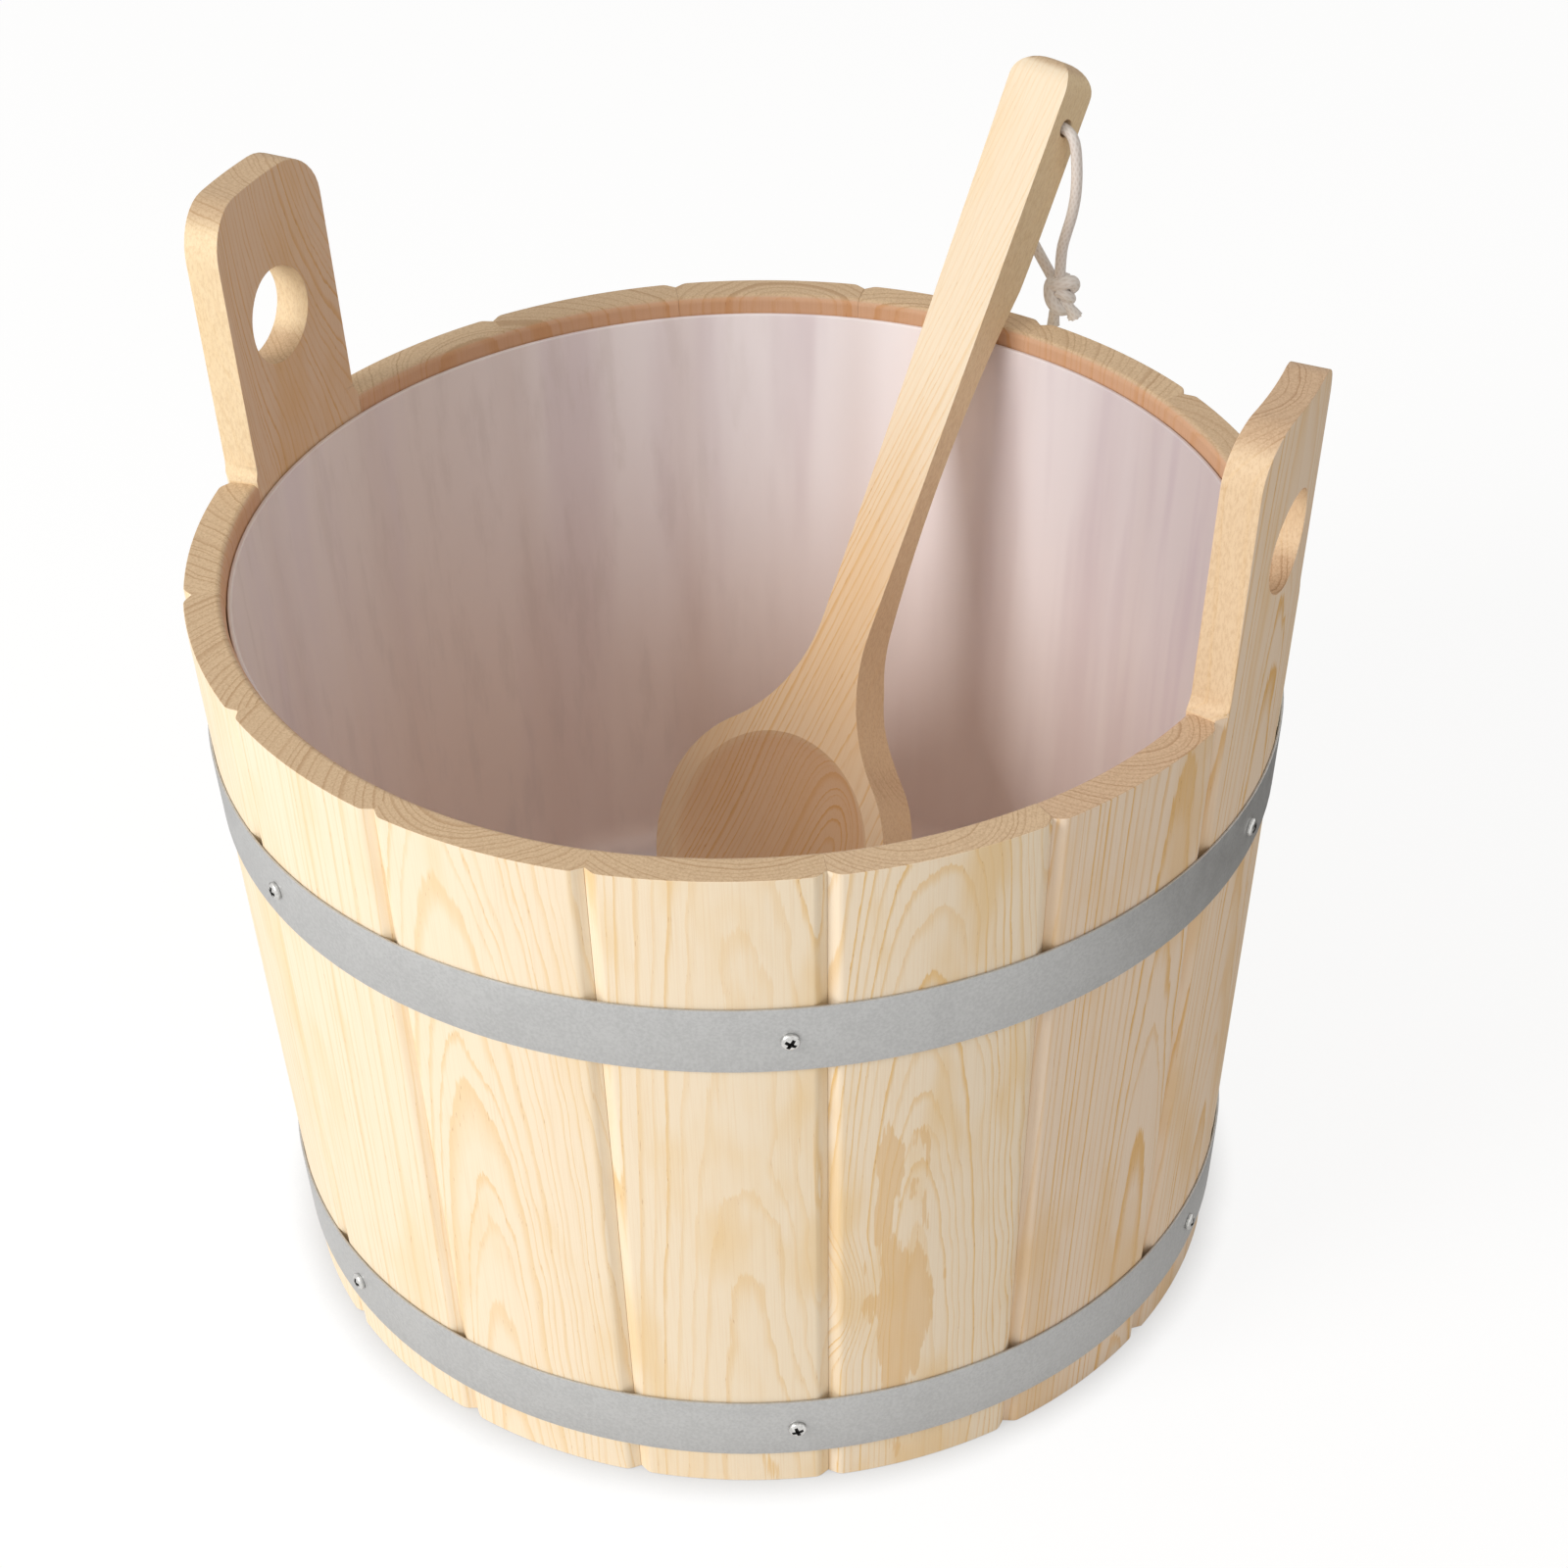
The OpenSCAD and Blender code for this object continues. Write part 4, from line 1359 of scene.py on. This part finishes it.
# %% Ladle sizes
bowl_radius = 51 * MM
bowl_thick = 23.5 * MM
bowl_edge = 5 * MM
hollow_radius = 43.5 * MM
hollow_deep = 16 * MM
handle_end = 302 * MM
neck_half = 10.5 * MM
end_half = 12.2 * MM
neck_deep = 9.8 * MM
scoop_radius = 375 * MM
scoop_at = 148 * MM
fillet = 66 * MM
neck_at = 88.5254 * MM
fillet_x = 76.5 * MM
end_round = 9.5 * MM
end_side_round = 8 * MM
cord_hole_radius = 3.2 * MM
cord_hole_sides = 32
cord_hole_ease = 0.5 * MM
ladle_ease = 1.1 * MM
ladle_arris = 33
sliver = 0.05 * MM
neck_from = 46 * MM
neck_step = 3.6 * MM
handle_from = 114 * MM
handle_step = 9 * MM
ball_radius = (hollow_radius ** 2 + hollow_deep ** 2) / (2 * hollow_deep)
tangent_at = bowl_radius * neck_at / (bowl_radius + fillet)


def chord(radius, offset):
    return math.sqrt(max(0.0, radius * radius - offset * offset))


def ladle_half(s):
    """Half of the ladle's width at a distance along it."""
    if s < tangent_at:
        return chord(bowl_radius, s)
    if s < neck_at:
        return fillet_x - chord(fillet, neck_at - s)
    straight = handle_end - end_round
    half = neck_half + (end_half - neck_half) * (min(s, straight) - neck_at) / (straight - neck_at)
    return half - end_round + chord(end_round, max(0.0, s - straight))


def end_rounding(s):
    over = max(0.0, s - (handle_end - end_side_round))
    return end_side_round - chord(end_side_round, over)


def front_depth(x, s):
    dip = chord(ball_radius, math.hypot(x, s)) - (ball_radius - hollow_deep)
    return max(0.0, dip) if math.hypot(x, s) < hollow_radius else end_rounding(s)


def smooth_step(value, low, high):
    part = min(1.0, max(0.0, (value - low) / (high - low)))
    return part * part * (3 - 2 * part)


def back_depth(x, s):
    """Depth of the back: a bowl with a rounded edge, which flows into the scooped neck."""
    reach = math.hypot(x, s)
    bowl = bowl_thick - bowl_edge + chord(bowl_edge, max(0.0, reach - (bowl_radius - bowl_edge)))
    deep = neck_deep + scoop_radius - chord(scoop_radius, s - scoop_at)
    handle = min(handle_depth, deep) if s > scoop_at else min(bowl_thick - bowl_edge, deep)
    blend = smooth_step(reach, bowl_radius - 2 * bowl_edge, bowl_radius + 2 * bowl_edge)
    neck = bowl_thick + (handle - bowl_thick) * blend - end_rounding(s)
    return bowl + (neck - bowl) * smooth_step(s, tangent_at - 5 * bowl_edge, tangent_at)


print("hollow ball radius", round(ball_radius / MM, 2), "mm, bowl ends at", round(tangent_at / MM, 2), "mm")


# %% Ladle
def ladle_stations():
    bowl = [-bowl_radius * math.cos(math.radians(a)) for a in (2, 6, 12, 18, 24, 28)]
    hollow = [hollow_radius * math.sin(math.radians(4.5 * step)) for step in range(-20, 21)]
    neck = [neck_from + neck_step * step for step in range(18)]
    handle = [handle_from + handle_step * step for step in range(20)]
    end = [handle_end - end_round * (1 - math.sin(math.radians(10 * step))) for step in range(10)]
    return sorted(bowl + hollow + neck + handle + end, reverse=True)


def ladle_outline(s):
    half = ladle_half(s)
    inside = chord(hollow_radius, s) or half * 0.4
    inside = min(inside, half * 0.95)
    rim = [inside + (half - inside) * part for part in (1.0, 0.72, 0.44, 0.2, 0.0)]
    middle = [inside * math.cos(math.radians(10 * step)) for step in range(1, 18)]
    row = rim + middle + [-x for x in reversed(rim)]
    front = [Vector((x, front_depth(min(abs(x), half), s), s)) for x in row]
    back = [Vector((x, back_depth(x, s), s)) for x in reversed(row)]
    return front + back


def ladle_finish():
    """Pine with painted shade: darker towards the bowl, most of all in the hollow, which lie in the bucket's
    shade.
    """
    axes = Matrix((-ladle_back, ladle_right, ladle_along))
    grain = (18.0, 23.0, 0.02, 2.1, 0.72)
    finish = pine_finish(
        "pine_ladle", axes, ladle_origin, 41, grain, wander=2.0, honey=0.25, skew=0.15, fade=0.5)
    tree = finish.node_tree
    skin = tree.nodes["Principled BSDF"].inputs["Base Color"]
    space, facing = board_space(tree, axes, ladle_origin)
    split = add_node(tree, "ShaderNodeSeparateXYZ", Vector=space)
    # painted shade: the neck and bowl, deep in the bucket, are darkened towards the bowl, most on their
    # front
    front = ease_between(tree, looks_along(tree, facing, axes[0]), 0.3, 0.6, 0.35, 1.0)
    neck = calc(tree, "MULTIPLY", ease_between(tree, split.outputs[2], 90.0, 200.0, 1.0, 0.0), front)
    neck = calc(tree, "MULTIPLY", ease_between(tree, split.outputs[2], 10.0, 70.0, 0.65, 1.0), neck)
    tone = mix_paint(tree, neck, skin.links[0].from_socket, (0.86, 0.73, 0.60, 1.0), "MULTIPLY")
    # painted shade in the hollow of the bowl
    reach = reach_of(tree, split.outputs[2], split.outputs[1])
    hollow = calc(tree, "MULTIPLY", ease_between(tree, reach, 40.0, 43.5, 1.0, 0.0), front)
    fill(tree, skin, mix_paint(tree, hollow, tone, (0.95, 0.87, 0.82, 1.0), "MULTIPLY"))
    return finish


def make_ladle():
    bm = loft([ladle_outline(s) for s in ladle_stations()])
    ease_arris(bm, sharp_edges(bm, ladle_arris), ladle_ease, 3)
    bmesh.ops.dissolve_degenerate(bm, edges=bm.edges, dist=sliver)
    middle = Vector((0.0, handle_depth / 2, cord_hole_at))
    turn = Matrix.Rotation(math.radians(90), 4, "Y")
    bm = drill_through("ladle", bm, middle, turn, cord_hole_radius, cord_hole_sides, cord_hole_ease, 2)
    bmesh.ops.transform(bm, matrix=ladle_place, verts=bm.verts)
    piece = make_piece("ladle_carved", bm, "ladle", ladle_finish(), ("ladle",))
    piece.modifiers.new("even_shading", "WEIGHTED_NORMAL").keep_sharp = True
    return piece


ladle = make_ladle()
print("ladle of", len(ladle.data.polygons), "faces")
